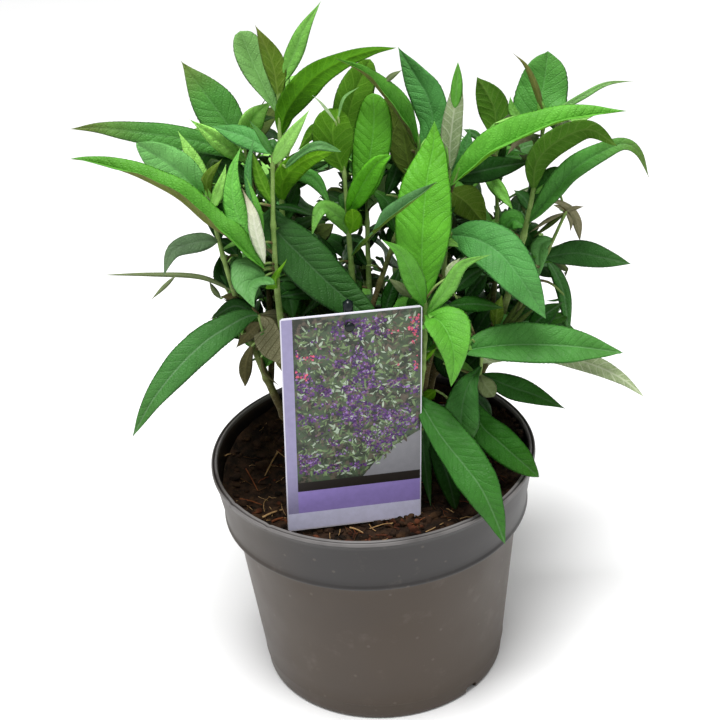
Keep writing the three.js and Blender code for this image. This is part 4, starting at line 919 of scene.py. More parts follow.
def build_soil():
    heap = Heap()
    seg, rings = 300, 110
    th = np.linspace(0, 2 * math.pi, seg, endpoint=False)
    k = np.linspace(0, 1, rings + 1)[1:]
    rr = 89.0 * k**0.85
    X, Y = rr[:, None] * np.cos(th), rr[:, None] * np.sin(th)
    Z = soil_height(X, Y)
    lim = np.interp(Z, [3, 12.8, 106.2, 110.7, 141.5], [70.4, 71.7, 82.2, 87.2, 91.3]) - 0.15
    last = rr[:, None] > lim - 0.6
    R = np.where(last, lim, rr[:, None] * np.ones(seg))
    X, Y = R * np.cos(th), R * np.sin(th)
    # a skirt down the wall and a flat underside, so the heap is closed
    sk = [118.0, 112.5]
    for zz in sk:
        rad_in = pot_inner(zz) - 0.2
        X = np.vstack([X, rad_in * np.cos(th)])
        Y = np.vstack([Y, rad_in * np.sin(th)])
        Z = np.vstack([Z, np.full(seg, zz)])
    n = len(X)
    v = np.stack([X, Y, Z], -1).reshape(-1, 3)
    f = grid_faces(n, seg, wrap=True)[:, ::-1][:, [3, 2, 1, 0]]
    v = np.vstack([v, [0, 0, float(soil_height(0.0, 0.0))], [0, 0, sk[-1]]])
    j = np.arange(seg)
    f = np.vstack([f, np.stack([np.full(seg, n * seg), j, (j + 1) % seg, (j + 1) % seg], 1), np.stack([np.full(seg, n * seg + 1), (n - 1) * seg + (j + 1) % seg, (n - 1) * seg + j, (n - 1) * seg + j], 1)])
    heap.add(v, f, "soil")
    return heap.build("soil_heap", MAT, attributes=False)


_ICO = None


def lump(heap, at, size, material, turn, seed):
    """A rough crumb: a small ball pushed in and out."""
    global _ICO
    if _ICO is None:
        g = (1 + 5**0.5) / 2
        v = [(-1, g, 0), (1, g, 0), (-1, -g, 0), (1, -g, 0), (0, -1, g), (0, 1, g), (0, -1, -g), (0, 1, -g), (g, 0, -1), (g, 0, 1), (-g, 0, -1), (-g, 0, 1)]
        f = [(0, 11, 5), (0, 5, 1), (0, 1, 7), (0, 7, 10), (0, 10, 11), (1, 5, 9), (5, 11, 4), (11, 10, 2), (10, 7, 6), (7, 1, 8), (3, 9, 4), (3, 4, 2), (3, 2, 6), (3, 6, 8), (3, 8, 9), (4, 9, 5), (2, 4, 11), (6, 2, 10), (8, 6, 7), (9, 8, 1)]
        v = [np.array(p) / np.linalg.norm(p) for p in v]
        seen, ff = {}, []

        def mid(a, b):
            key = (min(a, b), max(a, b))
            if key not in seen:
                m = v[a] + v[b]
                v.append(m / np.linalg.norm(m))
                seen[key] = len(v) - 1
            return seen[key]

        for a, b, c in f:
            ab, bc, ca = mid(a, b), mid(b, c), mid(c, a)
            ff += [(a, ab, ca), (b, bc, ab), (c, ca, bc), (ab, bc, ca)]
        _ICO = (np.array(v), np.array([(a, b, c, c) for a, b, c in ff]))
    r = np.random.default_rng(seed)
    v = _ICO[0] * (1 + 0.28 * (r.random((len(_ICO[0]), 1)) - 0.5)) * np.array(size)
    c, s_ = math.cos(turn), math.sin(turn)
    tilt = r.uniform(-0.5, 0.5)
    v = v @ np.array([[1, 0, 0], [0, math.cos(tilt), -math.sin(tilt)], [0, math.sin(tilt), math.cos(tilt)]])
    v = v @ np.array([[c, s_, 0], [-s_, c, 0], [0, 0, 1]]) + np.array(at)
    heap.add(v, _ICO[1], material)


def on_soil(u, v):
    """The place on the soil seen at u, v."""
    best = None
    for y in np.linspace(-92, 92, 400):
        q = P(u, v, y)
        if q[2] <= float(soil_height(q[0], q[1])):
            best = q
            break
    return best if best is not None else P(u, v, 0)


def build_litter():
    crumbs, fibres = Heap(), Heap()
    r = np.random.default_rng(77)
    for k in range(900):
        a, q = r.uniform(0, 2 * math.pi), 87 * math.sqrt(r.random())
        x, y = q * math.cos(a), q * math.sin(a)
        size = r.gamma(2.2, 0.42) + 0.35
        z = float(soil_height(x, y))
        lump(crumbs, (x, y, z + size * 0.25), (size * r.uniform(0.8, 1.6), size, size * r.uniform(0.5, 0.9)), ("soil", "crumb", "crumb_red")[int(r.choice(3, p=[0.6, 0.3, 0.1]))], r.uniform(0, 6.28), k)
    # a loose pile at the label's lower right, a bump on the right of the rim
    for k in range(90):
        q = on_soil(402 + r.normal(0, 11), 524 + r.normal(0, 4.5))
        size = r.uniform(0.5, 1.7)
        lump(crumbs, (q[0], q[1], q[2] + r.uniform(0, 2.6)), (size * 1.3, size, size * 0.8), ("crumb", "soil", "crumb_red")[k % 3], r.uniform(0, 6.28), 2000 + k)
    for k in range(18):
        a = r.uniform(-0.1, 0.9)
        lump(crumbs, (88.5 * math.cos(a), 88.5 * math.sin(a), float(soil_height(88 * math.cos(a), 88 * math.sin(a))) + r.uniform(0, 2.5)), (r.uniform(1, 2.4),) * 3, "soil", 0.0, 3000 + k)
    # bark chips and fibres thrown about at random
    for k in range(150):
        a, q = r.uniform(0, 2 * math.pi), 84 * math.sqrt(r.random())
        x, y = q * math.cos(a), q * math.sin(a)
        lump(crumbs, (x, y, float(soil_height(x, y)) + 0.4), (r.uniform(2, 5), r.uniform(0.6, 1.5), r.uniform(0.3, 0.6)), ("crumb", "crumb_red", "soil")[k % 3], r.uniform(0, 6.28), 4000 + k)
    for k in range(210):
        a, q = r.uniform(0, 2 * math.pi), 82 * math.sqrt(r.random())
        x, y = q * math.cos(a), q * math.sin(a)
        t, ln = r.uniform(0, 6.28), r.gamma(3.0, 2.6) + 3
        bend = r.uniform(-0.5, 0.5)
        pts = []
        for s_ in np.linspace(-0.5, 0.5, 5):
            px_, py_ = x + ln * s_ * math.cos(t + bend * s_), y + ln * s_ * math.sin(t + bend * s_)
            rr = math.hypot(px_, py_)
            if rr > 86.5:
                px_, py_ = px_ * 86.5 / rr, py_ * 86.5 / rr
            pts.append((px_, py_, float(soil_height(px_, py_)) + 0.35 + r.uniform(0, 0.9)))
        w = r.uniform(0.13, 0.34)
        tube(fibres, pts, w, w * 0.7, ("fibre", "fibre_dark", "fibre_red")[int(r.choice(3, p=[0.25, 0.5, 0.25]))], sides=5, n=8, seed=k)
    # the ones that catch the eye
    for a, b, w, mat in (((278, 453), (265, 477), 0.55, "fibre"), ((223, 459), (231, 455), 0.4, "fibre"), ((262, 519), (282, 511), 0.75, "fibre"), ((272, 523), (284, 519), 0.7, "fibre_red"),
                         ((350, 529), (363, 534), 0.6, "fibre"), ((246, 470), (258, 492), 0.45, "fibre_red"), ((236, 478), (252, 486), 0.4, "fibre_dark"), ((240, 500), (262, 506), 0.45, "fibre_red"),
                         ((388, 527), (412, 516), 0.45, "fibre"), ((394, 519), (418, 527), 0.45, "fibre_red"), ((370, 530), (396, 524), 0.4, "fibre"), ((402, 512), (424, 521), 0.4, "fibre_dark"), ((410, 530), (432, 516), 0.4, "fibre_red")):
        p0, p1 = on_soil(*a), on_soil(*b)
        mid = (p0 + p1) / 2
        mid[2] = max(mid[2], float(soil_height(mid[0], mid[1])))
        lift = np.array([0, 0, 0.9])
        tube(fibres, [p0 + lift, mid + lift * 1.6, p1 + lift], w, w * 0.6, mat, sides=7, n=12, seed=w)
    return crumbs, fibres


# ------------------------------------------------------------------ label and stake
LAB_Y, LAB_R = rad(9), rad(-2.7)
_ex = np.array([math.cos(LAB_Y), math.sin(LAB_Y), 0])
_ez = np.array([0, 0, 1.0])
LAB_A = _ex * math.cos(LAB_R) + _ez * math.sin(LAB_R)
LAB_B = -_ex * math.sin(LAB_R) + _ez * math.cos(LAB_R)
LAB_N = np.cross(LAB_A, LAB_B)
LAB_AT = np.array([-12.9, -52.8, 127.8])


def on_label(a, b, n=0.0):
    return LAB_AT + LAB_A * a + LAB_B * b + LAB_N * (0.45 + n)


def flat(heap, outline, n0, n1, material, tone=0.0):
    """A thin raised patch of the print, closed: an outline in label millimetres."""
    o = np.array(outline, float)
    k = len(o)
    c = o.mean(0)
    rings = [np.array([on_label(a, b, n1) for a, b in o]), np.array([on_label(a, b, n0) for a, b in o])]
    v = np.vstack([rings[0], rings[1], [on_label(c[0], c[1], n1)], [on_label(c[0], c[1], n0)]])
    area = 0.5 * np.sum(o[:, 0] * np.roll(o[:, 1], -1) - np.roll(o[:, 0], -1) * o[:, 1])
    j = np.arange(k)
    j1 = (j + 1) % k
    if area < 0:
        j, j1 = j1, j
    f = np.vstack([np.stack([np.full(k, 2 * k), j, j1, j1], 1), np.stack([np.full(k, 2 * k + 1), k + j1, k + j, k + j], 1), np.stack([j, k + j, k + j1, j1], 1)])
    heap.add(v, f, material, tone=tone)


def build_label():
    """A generic printed face: drifts of round florets and slim leaves over a dark bed, above plain bands."""
    heap = Heap()
    r = np.random.default_rng(31)
    W, H, left = 37.4, 133.2, -31.6
    rect = lambda a0, b0, a1, b1: [(a0, b0), (a1, b0), (a1, b1), (a0, b1)]
    flat(heap, rect(-W, 0.8, W, 11.4), 0.0, 0.05, "print_pale")
    flat(heap, rect(left, 11.4, W, 25.6), 0.0, 0.05, "print_band")
    flat(heap, rect(left, 25.6, W, 31.4), 0.0, 0.05, "print_dark")
    flat(heap, rect(-W, 11.4, left, H), 0.0, 0.05, "print_lilac")
    # the bed, and a corner of plain paving
    flat(heap, rect(left, 31.4, W, H), 0.0, 0.05, "print_bed")
    flat(heap, [(5, 31.4), (W, 31.4), (W, 57.5), (24, 50), (12, 40)], 0.02, 0.07, "print_stone")
    lvl = 0.06
    for k in range(1500):
        a, b = r.uniform(left + 2, W - 2), r.uniform(34, H - 3)
        if b < 56 and a > 6 and (a - 6) * 0.9 > (b - 31.4) * 1.0:
            continue
        t, ln = r.uniform(0, 6.28), r.uniform(1.6, 5.0)
        w = ln * r.uniform(0.10, 0.17)
        d = np.array([math.cos(t), math.sin(t)])
        e = np.array([-d[1], d[0]])
        base = np.array([a, b])
        o = [base - d * ln / 2, base - d * ln * 0.15 + e * w, base + d * ln * 0.2 + e * w * 0.8, base + d * ln / 2, base + d * ln * 0.2 - e * w * 0.8, base - d * ln * 0.15 - e * w]
        o = [(min(max(x, left + 0.3), W - 0.3), min(max(y, 31.9), H - 0.3)) for x, y in o]
        flat(heap, o, 0.04, lvl + 0.03 + 0.05 * r.random(), ("print_leaf", "print_leaf_pale", "print_green", "print_earth")[int(r.choice(4, p=[0.4, 0.18, 0.27, 0.15]))], tone=float(r.normal(0, 0.14)))
    # drifts of small round florets, thick in bands that run across the bed
    count = 0
    while count < 2300:
        a, b = r.uniform(left + 1.2, W - 1.2), r.uniform(36, H - 3)
        drift = fbm(np.array([a + 0.35 * b]), np.array([b * 1.6]), 13, 140, 3)[0] + 0.10 * math.sin(b / 9 + a / 14)
        if drift < 0.53 or (b < 58 and a > 4 and (a - 4) * 0.9 > (b - 34)):
            if r.random() > 0.03:
                continue
            if b < 58 and a > 4 and (a - 4) * 0.9 > (b - 34):
                continue
        rr = r.uniform(0.42, 0.95)
        k = 6
        ph = r.uniform(0, 1)
        o = [(a + rr * (1 if q % 2 else 0.72) * math.cos(2 * math.pi * (q + ph) / k), b + rr * (1 if q % 2 else 0.72) * math.sin(2 * math.pi * (q + ph) / k)) for q in range(k)]
        o = [(min(max(x, left + 0.3), W - 0.3), min(max(y, 31.9), H - 0.3)) for x, y in o]
        mat = ("print_violet", "print_violet_deep", "print_violet_pale", "print_mauve")[int(r.choice(4, p=[0.36, 0.36, 0.12, 0.16]))]
        if b > 96 and (a > 20 or a < -20) and r.random() < 0.45:
            mat = "print_pink"
        flat(heap, o, 0.05, 0.10 + 0.06 * r.random(), mat, tone=float(r.normal(0, 0.12)))
        count += 1
    return heap.build("label_print", MAT, smooth=False)


def build_stake():
    heap = Heap()
    top = LAB_AT + LAB_B * 138.6 + LAB_A * -1.2 + LAB_N * -3.7
    tube(heap, [(top[0], top[1], 102.0), (top[0], top[1], 150), (top[0], top[1], 200), (top[0], top[1], top[2] - 0.6)], 2.2, 2.75, "stake", sides=28, n=40)
    c = LAB_AT + LAB_B * 125.8 + LAB_A * -1.2
    th = np.linspace(0, 2 * math.pi, 36, endpoint=False)
    rings = []
    for rr, n in ((1.75, -3.2), (1.75, 0.8), (2.5, 0.9), (2.72, 1.05), (2.75, 1.4), (2.6, 1.8), (2.2, 2.15), (1.5, 2.4), (0.7, 2.5)):
        rings.append(c + LAB_N * n + rr * (np.cos(th)[:, None] * LAB_A + np.sin(th)[:, None] * LAB_B))
    v = np.vstack(rings + [[c + LAB_N * -3.2], [c + LAB_N * 2.52]])
    n = len(rings)
    f = grid_faces(n, 36, wrap=True)
    j = np.arange(36)
    f = np.vstack([f, np.stack([np.full(36, n * 36), (j + 1) % 36, j, j], 1), np.stack([np.full(36, n * 36 + 1), (n - 1) * 36 + j, (n - 1) * 36 + (j + 1) % 36, (n - 1) * 36 + (j + 1) % 36], 1)])
    heap.add(v, f, "stake")
    return heap.build("stake_round", MAT, attributes=False)


# ------------------------------------------------------------------ what the eye sees from the front
CELL = 2
GRID = 720 // CELL
zbuf = np.full((GRID + 2, GRID + 2), 1e9)


def splat(points):
    u, v, z = px(points)
    i, j = (v / CELL).astype(int), (u / CELL).astype(int)
    ok = (i >= 0) & (i < GRID) & (j >= 0) & (j < GRID)
    np.minimum.at(zbuf, (i[ok], j[ok]), z[ok])


for pts_ in hero_pts:
    splat(pts_)
_near = zbuf.copy()
for di in (-1, 0, 1):
    for dj in (-1, 0, 1):
        _near = np.minimum(_near, np.roll(np.roll(zbuf, di, 0), dj, 1))
# cells closed in on both sides count as covered
_full = zbuf < 1e8
cover = _full | ((_near < 1e8) & (np.roll(_full, 1, 0) & np.roll(_full, -1, 0) | np.roll(_full, 1, 1) & np.roll(_full, -1, 1)))
zbuf = np.where(cover, _near, 1e9)
aa, bb = np.meshgrid(np.arange(-37, 37.5, 1.0), np.arange(1, 133.5, 1.0))
card_pts = LAB_AT + aa.ravel()[:, None] * LAB_A + bb.ravel()[:, None] * LAB_B
_keep = zbuf.copy()
zbuf = np.full_like(_keep, 1e9)
splat(card_pts)
th_, zz_ = np.meshgrid(np.linspace(0, 2 * math.pi, 400), np.linspace(0, 142, 110))
rr_ = np.interp(zz_, [0, 12, 107, 108, 142], [72, 73.6, 84, 89, 94.5])
splat(np.stack([rr_ * np.cos(th_), rr_ * np.sin(th_), zz_], -1).reshape(-1, 3))
rg, tg = np.meshgrid(np.linspace(0, 90, 70), np.linspace(0, 2 * math.pi, 400))
splat(np.stack([rg * np.cos(tg), rg * np.sin(tg), 0 * rg + 128.0], -1).reshape(-1, 3))
zbuf = np.minimum(zbuf, _keep)
LO, HI = cad_lo, cad_hi
BOX_LO = np.array([LO[0], LO[1], 0.0]) * 1000 - np.array([17, 15, 0])
BOX_HI = np.array([HI[0], HI[1], HI[2]]) * 1000 + np.array([17, 15, 14])

# parts of the crown's inside that show dark leaves from the front: rough outlines in the picture
INSIDE = [
    [(198, 152), (232, 150), (256, 106), (277, 104), (300, 172), (345, 150), (405, 150), (405, 262), (448, 262), (448, 215), (462, 184), (496, 138), (534, 142), (531, 214), (546, 240), (541, 262), (568, 262),
     (571, 326), (500, 332), (488, 366), (438, 366), (424, 312), (330, 322), (284, 320), (254, 316), (252, 280), (222, 264), (222, 240), (248, 222), (214, 192)],
]
SKY = [(300, 187, 317, 204), (320, 171, 340, 189), (332, 193, 344, 208), (367, 205, 388, 221), (362, 218, 371, 227), (329, 228, 345, 241), (330, 241, 344, 253), (360, 244, 384, 258), (373, 270, 381, 275),
       (262, 287, 274, 295), (262, 307, 268, 313), (215, 284, 227, 297), (178, 247, 222, 281), (230, 342, 242, 352), (254, 356, 260, 363), (268, 360, 281, 368), (271, 366, 282, 379), (248, 364, 268, 391), (462, 91, 484, 131),
       (504, 164, 527, 197), (475, 182, 495, 209), (482, 199, 494, 212), (498, 202, 508, 213), (552, 143, 574, 175), (543, 202, 557, 213), (535, 213, 554, 223), (549, 220, 572, 238), (538, 276, 560, 300), (550, 300, 564, 318), (480, 371, 486, 376),
       (300, 74, 336, 150), (377, 51, 400, 92), (262, 121, 273, 134)]


def inside_poly(u, v):
    out = np.zeros(len(u), bool)
    for poly in INSIDE:
        x, y = np.array(poly, float).T
        c = np.zeros(len(u), bool)
        for k in range(len(x)):
            x0, y0, x1, y1 = x[k - 1], y[k - 1], x[k], y[k]
            hit = ((y0 > v) != (y1 > v)) & (u < (x1 - x0) * (v - y0) / (y1 - y0 + 1e-9) + x0)
            c ^= hit
        out |= c
    for a, b, c, d in SKY:
        out &= ~((u > a + 2) & (u < c - 2) & (v > b + 2) & (v < d - 2))
    return out


def hidden(points, slack=-0.6, spare=0.0):
    """Every point lies behind what is already seen from the front, and inside the part's size."""
    if (points < BOX_LO).any() or (points > BOX_HI).any():
        return False
    r = np.hypot(points[:, 0], points[:, 1])
    low = points[:, 2] < 145
    if (low & (r < 97)).any():
        z = points[:, 2]
        if ((r < 97) & (z < 143.5) & (r > 86)).any() or ((r <= 86) & (z < 131)).any():
            return False
    if (points[:, 2] < 60).any():
        return False
    u, v, d = px(points)
    i, j = (v / CELL).astype(int), (u / CELL).astype(int)
    if ((i < 1) | (i >= GRID) | (j < 1) | (j >= GRID)).any():
        return False
    z = zbuf[i, j]
    bad = d < z - slack
    bad &= ~((z > 1e8) & inside_poly(u, v))
    return bad.mean() <= spare


# ------------------------------------------------------------------ the branching rule
def leaf_samples(line, width, ref, shape):
    s_ = np.linspace(0, 1, len(line))
    a, b = shape
    f = s_**a * (1 - s_) ** b / ((a / (a + b)) ** a * (b / (a + b)) ** b)
    t, n = frames(line, ref)
    side = np.cross(n, t)
    h = (width / 2 * f)[:, None]
    return np.vstack([line[2:], (line + side * h)[2:], (line - side * h)[2:]])


UPPER = ("mid", "bright", "deep", "blue", "mid", "deep", "fresh", "bluegrey")
grown = {k: 0 for k in SHOOTS}


def grow_leaf(key, p0, az, rise, droop, swing, length, width, young=0.0, rear=True):
    row = (az, rise, droop, swing, length)
    coarse = path(p0, row, 14)
    roll = rrng.normal(0, 0.25)
    ref = unit(np.array([0.35 * math.cos(rad(az)) - roll * math.sin(rad(az)), 0.35 * math.sin(rad(az)) + roll * math.cos(rad(az)), 1.0]))
    shape = (rrng.uniform(0.85, 1.1), rrng.uniform(1.1, 1.5))
    if not hidden(leaf_samples(coarse, width, ref, shape)):
        return False
    n = int(np.clip(length / 2.3, 12, 36))
    line, ln = spline(coarse, n)
    top = "young" if young > 0.75 else ("fresh" if young > 0.5 else UPPER[int(rrng.integers(len(UPPER)))])
    # leaves low in the crown that are not young get darker greens: painted shade
    if p0[2] < 205 and young < 0.4:
        top = ("deep", "dark", "mid")[int(rrng.integers(3))]
    under = ("silver", "silver", "grey", "olive")[int(rrng.integers(4))]
    half = width / 2
    leaf(masses[key], line, ln, half * rrng.uniform(0.9, 1.0), half * rrng.uniform(0.9, 1.0), ref, "T", top, under, shape=shape, cols=int(np.clip(half / 2.0, 3, 6)), tone=float(rrng.normal(0, 0.08)),
         curl=rrng.uniform(0.15, 0.5), tip=float(rrng.random() ** 3 * 0.5), quilt=0.2, wave=0.25, petiole=1.0)
    grown[key] += 1
    return True


def clothe(key, line, nodes, first, sizes, tries=14):
    """Crossed pairs of leaves up a shoot, and a short side twig with small leaves in some of the axils."""
    for k, t in enumerate(nodes):
        at = along(line, t)
        apex = (t - nodes[0]) / max(1e-6, nodes[-1] - nodes[0])
        for side in (0, 180):
            base = first + 90 * k + side
            for attempt in range(tries):
                spread = 8 + 3.5 * attempt
                az = base + rrng.uniform(-spread, spread)
                length = (sizes[0] + (sizes[1] - sizes[0]) * apex) * rrng.uniform(0.75, 1.12) * (1 - 0.018 * attempt)
                back = math.sin(rad(az)) > 0.2
                rise = rrng.uniform(-30 if back else 5, 58) + 16 * apex
                droop = rrng.uniform(10, 90) * (1 - 0.4 * apex)
                if grow_leaf(key, at, az, rise, droop, rrng.uniform(-25, 25), length, length * rrng.uniform(0.25, 0.34), young=0.95 * apex**2):
                    break
            if rrng.random() < 0.75:
                # a side twig from the axil
                for attempt in range(6):
                    az = base + rrng.uniform(-40, 40)
                    tw = path(at, (az, rrng.uniform(25, 70), rrng.uniform(-10, 20), rrng.uniform(-20, 20), rrng.uniform(10, 26)), 6)
                    if not hidden(tw[1:]):
                        continue
                    made = 0
                    for q, s_ in enumerate((0.55, 1.0)):
                        for sd in (0, 180):
                            a2 = az + 90 * (q + 1) + sd + rrng.uniform(-20, 20)
                            ln = rrng.uniform(22, 40) * (1.1 - 0.3 * q)
                            made += grow_leaf(key, along(tw, s_), a2, rrng.uniform(10, 60), rrng.uniform(10, 60), 0, ln, ln * rrng.uniform(0.27, 0.34), young=0.3 + 0.35 * q)
                    if made:
                        tube(twigs, tw, 1.0, 0.6, "bark", sides=7, n=8, seed=az)
                    break


rrng = np.random.default_rng(9021)


def fill_inside(rounds=1700):
    """Leaves deep in the crown, from the nearest shoots, until its open inside is closed in; their dark greens are
    painted shade.
    """
    made = 0
    for k in range(rounds):
        uu, vv = np.meshgrid(np.arange(200, 572, 2) + 1.0, np.arange(104, 366, 2) + 1.0)
        uu, vv = uu.ravel(), vv.ravel()
        open_ = (zbuf[(vv / CELL).astype(int), (uu / CELL).astype(int)] > 1e8) & inside_poly(uu, vv)
        if open_.sum() < 12:
            break
        pick = int(rrng.choice(np.flatnonzero(open_)))
        u, v = uu[pick], vv[pick]
        best = []
        for key in SHOOTS:
            du, dv, dz = px(DENSE[key])
            d = np.hypot(du - u, dv - v)
            m = int(np.argmin(d))
            best.append((d[m], key, m))
        best.sort()
        near, key, m = best[int(rrng.integers(0, 3))]
        if near > 70:
            continue
        m = int(np.clip(m + rrng.integers(-30, 12), 20, 199))
        foot = DENSE[key][m]
        y = foot[1] + rrng.uniform(-6, 26)
        through = P(u, v, y)
        if np.linalg.norm(through - foot) > 75:
            continue
        late = k / rounds  # the last ones are small and fit the chinks
        beyond = through + (through - foot) * rrng.uniform(0.1, 0.7) * (1 - 0.8 * late) + (1 - 0.6 * late) * np.array([rrng.normal(0, 4), rrng.normal(0, 4), -rrng.uniform(0, 12)])
        mid = (foot + through) / 2 + np.array([0, 0, rrng.uniform(1, 7)])
        line, ln = spline([foot, mid, through, beyond], 16)
        if ln < 14 or ln > 100:
            continue
        width = min(ln * rrng.uniform(0.22, 0.34), 19) * (1 - 0.5 * late)
        ref = unit(CAM - through) * 0.7 + np.array([rrng.normal(0, 0.4), 0, 0.6])
        shape = (rrng.uniform(0.8, 1.1), rrng.uniform(0.9, 1.4))
        pts = leaf_samples(line, width, ref, shape)
        if not hidden(pts, slack=-0.3, spare=0.05):
            continue
        n = int(np.clip(ln / 2.0, 12, 40))
        line, ln = spline([foot, mid, through, beyond], n)
        # the near-black greens of these leaves are painted shade inside the crown
        top = ("dark", "shade", "dark", "deep")[int(rrng.integers(4))]
        pos = leaf(masses[key], line, ln, width / 2, width / 2, ref, "T" if rrng.random() < 0.8 else "U", top, "olive_dark", shape=shape, cols=4, tone=float(rrng.normal(0, 0.08)), curl=rrng.uniform(0.1, 0.4), tip=0.1, quilt=0.2, wave=0.25, petiole=1.0)
        grown[key] += 1
        made += 1
        t_ = np.linspace(0, 1, 9)[None, :, None]
        fine = np.vstack([(pos[:-1, None, ::2] * (1 - t_[..., None]) + pos[1:, None, ::2] * t_[..., None]).reshape(-1, 3), pos.reshape(-1, 3)])
        splat(fine)
    return made


print("inner leaves", fill_inside())
for key, (stem, mass, start, grow, core) in SHOOTS.items():
    rear = key in "MNOQRS"
    length = grow[4]
    lo_t = 0.30 if not isinstance(start[0], str) else 0.34
    count = max(4, int(length * (1 - lo_t) / (8.5 if rear else 12)))
    nodes = np.linspace(lo_t, 0.985, count)
    big = (92, 50) if rear else (84, 42)
    if isinstance(start[0], str):
        big = (76, 40)
    clothe(key, LINES[key], nodes, float(rrng.uniform(0, 180)), big, tries=26)
    # the growing tip: small upright leaves in crossed pairs
    tip_at, before = LINES[key][-1], LINES[key][-3]
    d = unit(tip_at - before)
    az0 = math.degrees(math.atan2(d[1], d[0]))
    for q in range(3):
        for sd in (0, 180):
            grow_leaf(key, tip_at - d * (3 - q), az0 + 90 * q + sd + rrng.uniform(-15, 15), 72 + 4 * q, -6, 0, 17 - 4 * q, 5.2 - 1.1 * q, young=1.0)

# ------------------------------------------------------------------ stems and boughs
stems, boughs = Heap(), Heap()
for key, (stem, mass, start, grow, core) in SHOOTS.items():
    is_bough = isinstance(start[0], str)
    nodes = np.linspace(0.12, 0.97, 7 if not is_bough else 5)
    r0, r1 = (1.9, 0.8) if is_bough else (2.9, 0.95)
    tube(boughs if is_bough else stems, LINES[key], r0, r1, "bark", sides=20, n=int(grow[4] / 1.6), relief=0.07, nodes=nodes, seed=len(mass) * 1.7 + grow[0], flare=0.0 if is_bough else 0.45)

MAT["pot"] = plastic_material("pot_plastic", "#2c2b2c", 0.42, 0.34, scuffs="#5c544c", paler_body_and_painted_sheen="#42372c", within=True)
MAT["soil"] = soil_material("compost", "#140f0a", "#38271b", "#644c34")
MAT["crumb"] = soil_material("crumbs", "#20160e", "#44301f", "#75593e")
MAT["crumb_red"] = soil_material("crumbs_red", "#2e180e", "#5a3320", "#7a5238")
MAT["fibre"] = soil_material("fibres", "#8f7048", "#b8976a", "#d0b48a")
MAT["fibre_dark"] = soil_material("fibres_dark", "#3a2717", "#5c4128", "#7a5a3c")
MAT["fibre_red"] = soil_material("fibres_red", "#5a2f1a", "#7e4a2c", "#9a6a48")
card_mat = plastic_material("label_card", "#dad8e4", 0.35, 0.4, 0.02)
MAT["stake"] = plastic_material("stake_plastic", "#081214", 0.26, 0.32, 0.04)
for nm, colour in (("pale", "#dcdbf6"), ("band", "#9a88cc"), ("dark", "#241f1c"), ("lilac", "#958fb2"), ("green", "#43523a"), ("earth", "#5c5246"), ("ground", "#2c3128"), ("stone", "#85858a"),
                   ("leaf", "#6c8258"), ("leaf_pale", "#a2b29c"), ("violet", "#5d3674"), ("violet_deep", "#40205a"), ("violet_pale", "#8a6ca6"), ("mauve", "#7a5874"), ("pink", "#c9566f")):
    mm, g, b = material("print_" + nm)
    pos = g.new("ShaderNodeNewGeometry").outputs["Position"]
    n1 = g.noise(pos, 260.0, 4.0, 0.6)
    base = lin(colour)
    lo_, hi_ = (0.95, 1.04) if nm in ("pale", "band", "lilac", "dark", "stone") else (0.8, 1.15)
    col = g.mix(g.step(n1, 0.3, 0.7), tuple([c * lo_ for c in base[:3]] + [1.0]), tuple([min(1.0, c * hi_) for c in base[:3]] + [1.0]))
    hsv = g.new("ShaderNodeHueSaturation")
    g.link(col, hsv.inputs["Color"])
    g.link(g.math("ADD", g.attr("tone").outputs["Fac"], 1.0), hsv.inputs["Value"])
    g.link(hsv.outputs[0], b.inputs["Base Color"])
    b.inputs["Roughness"].default_value = 0.38
    b.inputs["Specular IOR Level"].default_value = 0.35
    MAT["print_" + nm] = mm
# the print's bed: three dim tones run into one another
mm, g, b = material("print_bed")
pos = g.new("ShaderNodeNewGeometry").outputs["Position"]
col = g.mix(g.step(g.noise(pos, 130.0, 4.0, 0.6), 0.42, 0.58), lin("#2c3128"), lin("#465740"))
col = g.mix(g.math("MULTIPLY", g.step(g.noise(pos, 300.0, 4.0, 0.65), 0.5, 0.62), 0.75), col, lin("#63584c"))
g.link(col, b.inputs["Base Color"])
b.inputs["Roughness"].default_value = 0.38
b.inputs["Specular IOR Level"].default_value = 0.35
MAT["print_bed"] = mm


def place(obj, slot, *nodes):
    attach(obj, "root")
    if nodes:
        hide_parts(*nodes)
    return obj


for key in SHOOTS:
    if masses[key].n:
        place(masses[key].build("leaves_" + SHOOTS[key][1].replace("foliage_", ""), MAT), "leaf", SHOOTS[key][1])
place(stems.build("stems_bark", MAT), "bark", *[s_[0] for s_ in SHOOTS.values() if s_[0].startswith("stem_")])
place(boughs.build("boughs_bark", MAT), "bark", *[s_[0] for s_ in SHOOTS.values() if s_[0].startswith("bough_")])
if twigs.n:
    place(twigs.build("petioles", MAT), "bark")
place(build_pot(), "pot_plastic", "pot")
place(build_soil(), "compost", "soil")
crumbs, fibres = build_litter()
place(crumbs.build("soil_crumbs", MAT, attributes=False), "compost")
place(fibres.build("soil_fibres", MAT), "compost")
place(build_label(), "label_card")
place(build_stake(), "stake_plastic", "label_stake")
card = frame["nodes"]["label_card"]
card.data.materials.clear()
card.data.materials.append(card_mat)
print("rule leaves", grown, sum(grown.values()))

# ------------------------------------------------------------------ stage, light, camera
def plane(name, size, z, mat):
    mesh = bpy.data.meshes.new(name)
    h = size / 2
    mesh.from_pydata([(-h, -h, z), (h, -h, z), (h, h, z), (-h, h, z)], [], [(0, 1, 2, 3)])
    mesh.materials.append(mat)
    o = bpy.data.objects.new(name, mesh)
    bpy.context.scene.collection.objects.link(o)
    return o


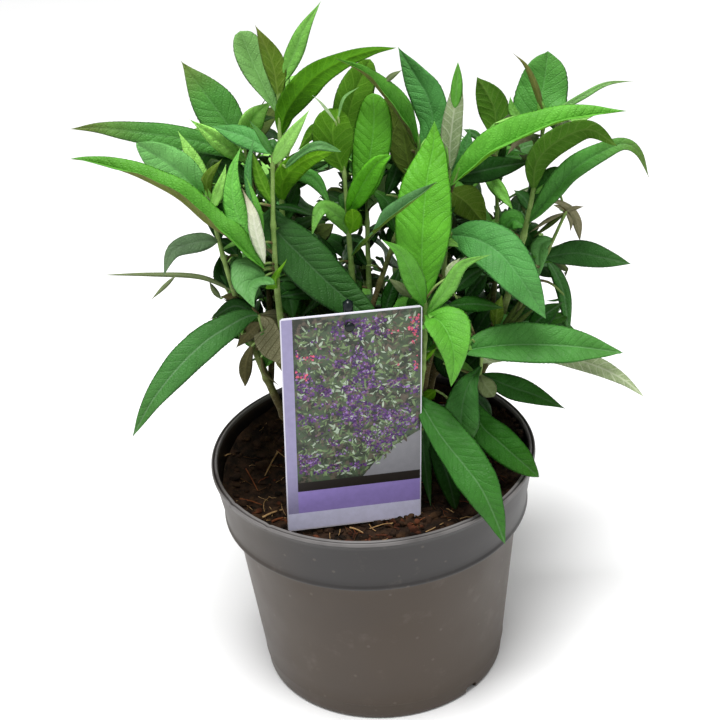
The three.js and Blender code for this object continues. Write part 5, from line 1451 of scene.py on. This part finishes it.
floor_mat, g, b = material("studio_floor")
b.inputs["Base Color"].default_value = (0.93, 0.93, 0.93, 1)
b.inputs["Roughness"].default_value = 0.9
b.inputs["Specular IOR Level"].default_value = 0.1
plane("floor", 24.0, -0.0005, floor_mat)

world = bpy.data.worlds.new("studio")
bpy.context.scene.world = world
world.use_nodes = True
bg = world.node_tree.nodes.get("Background") or world.node_tree.nodes.new("ShaderNodeBackground")
bg.inputs[0].default_value = (1, 1, 1, 1)
bg.inputs[1].default_value = 0.52


def area(name, place, target, size, watts):
    data = bpy.data.lights.new(name, "AREA")
    data.shape = "SQUARE"
    data.size = size
    data.energy = watts
    o = bpy.data.objects.new(name, data)
    bpy.context.scene.collection.objects.link(o)
    d = np.array(place, float) - np.array(target, float)
    zc = unit(d)
    xc = unit(np.cross((0.01, 1, 0.02), zc))
    yc = np.cross(zc, xc)
    from mathutils import Matrix

    m = Matrix.Identity(4)
    for i in range(3):
        m[i][0], m[i][1], m[i][2], m[i][3] = xc[i], yc[i], zc[i], place[i]
    o.matrix_world = m
    return o


area("key_overhead", (-0.1, -0.45, 2.4), (0, 0, 0.25), 1.0, 70.0)
area("fill_left", (-2.2, -1.4, 1.0), (0, 0, 0.15), 3.2, 10.5)

cam_data = bpy.data.cameras.new("camera")
cam_data.sensor_width = 36.0
cam_data.lens = 36.0 * FOCAL / 720.0
cam_data.clip_start, cam_data.clip_end = 0.05, 60.0
cam = bpy.data.objects.new("camera", cam_data)
bpy.context.scene.collection.objects.link(cam)
from mathutils import Matrix

m = Matrix.Identity(4)
for i in range(3):
    m[i][0], m[i][1], m[i][2], m[i][3] = R2[i], U2[i], -FW[i], CAM[i] * MM
cam.matrix_world = m
bpy.context.scene.camera = cam
bpy.context.scene.view_settings.view_transform = "Standard"

# ------------------------------------------------------------------ sizes and finish
bpy.context.view_layer.update()
lo, hi = np.full(3, 1e9), np.full(3, -1e9)
for o in bpy.context.scene.objects:
    if o.type == "MESH" and o.name != "floor" and not o.hide_render:
        co = np.empty(len(o.data.vertices) * 3, np.float32)
        o.data.vertices.foreach_get("co", co)
        co = co.reshape(-1, 3)
        lo, hi = np.minimum(lo, co.min(0)), np.maximum(hi, co.max(0))
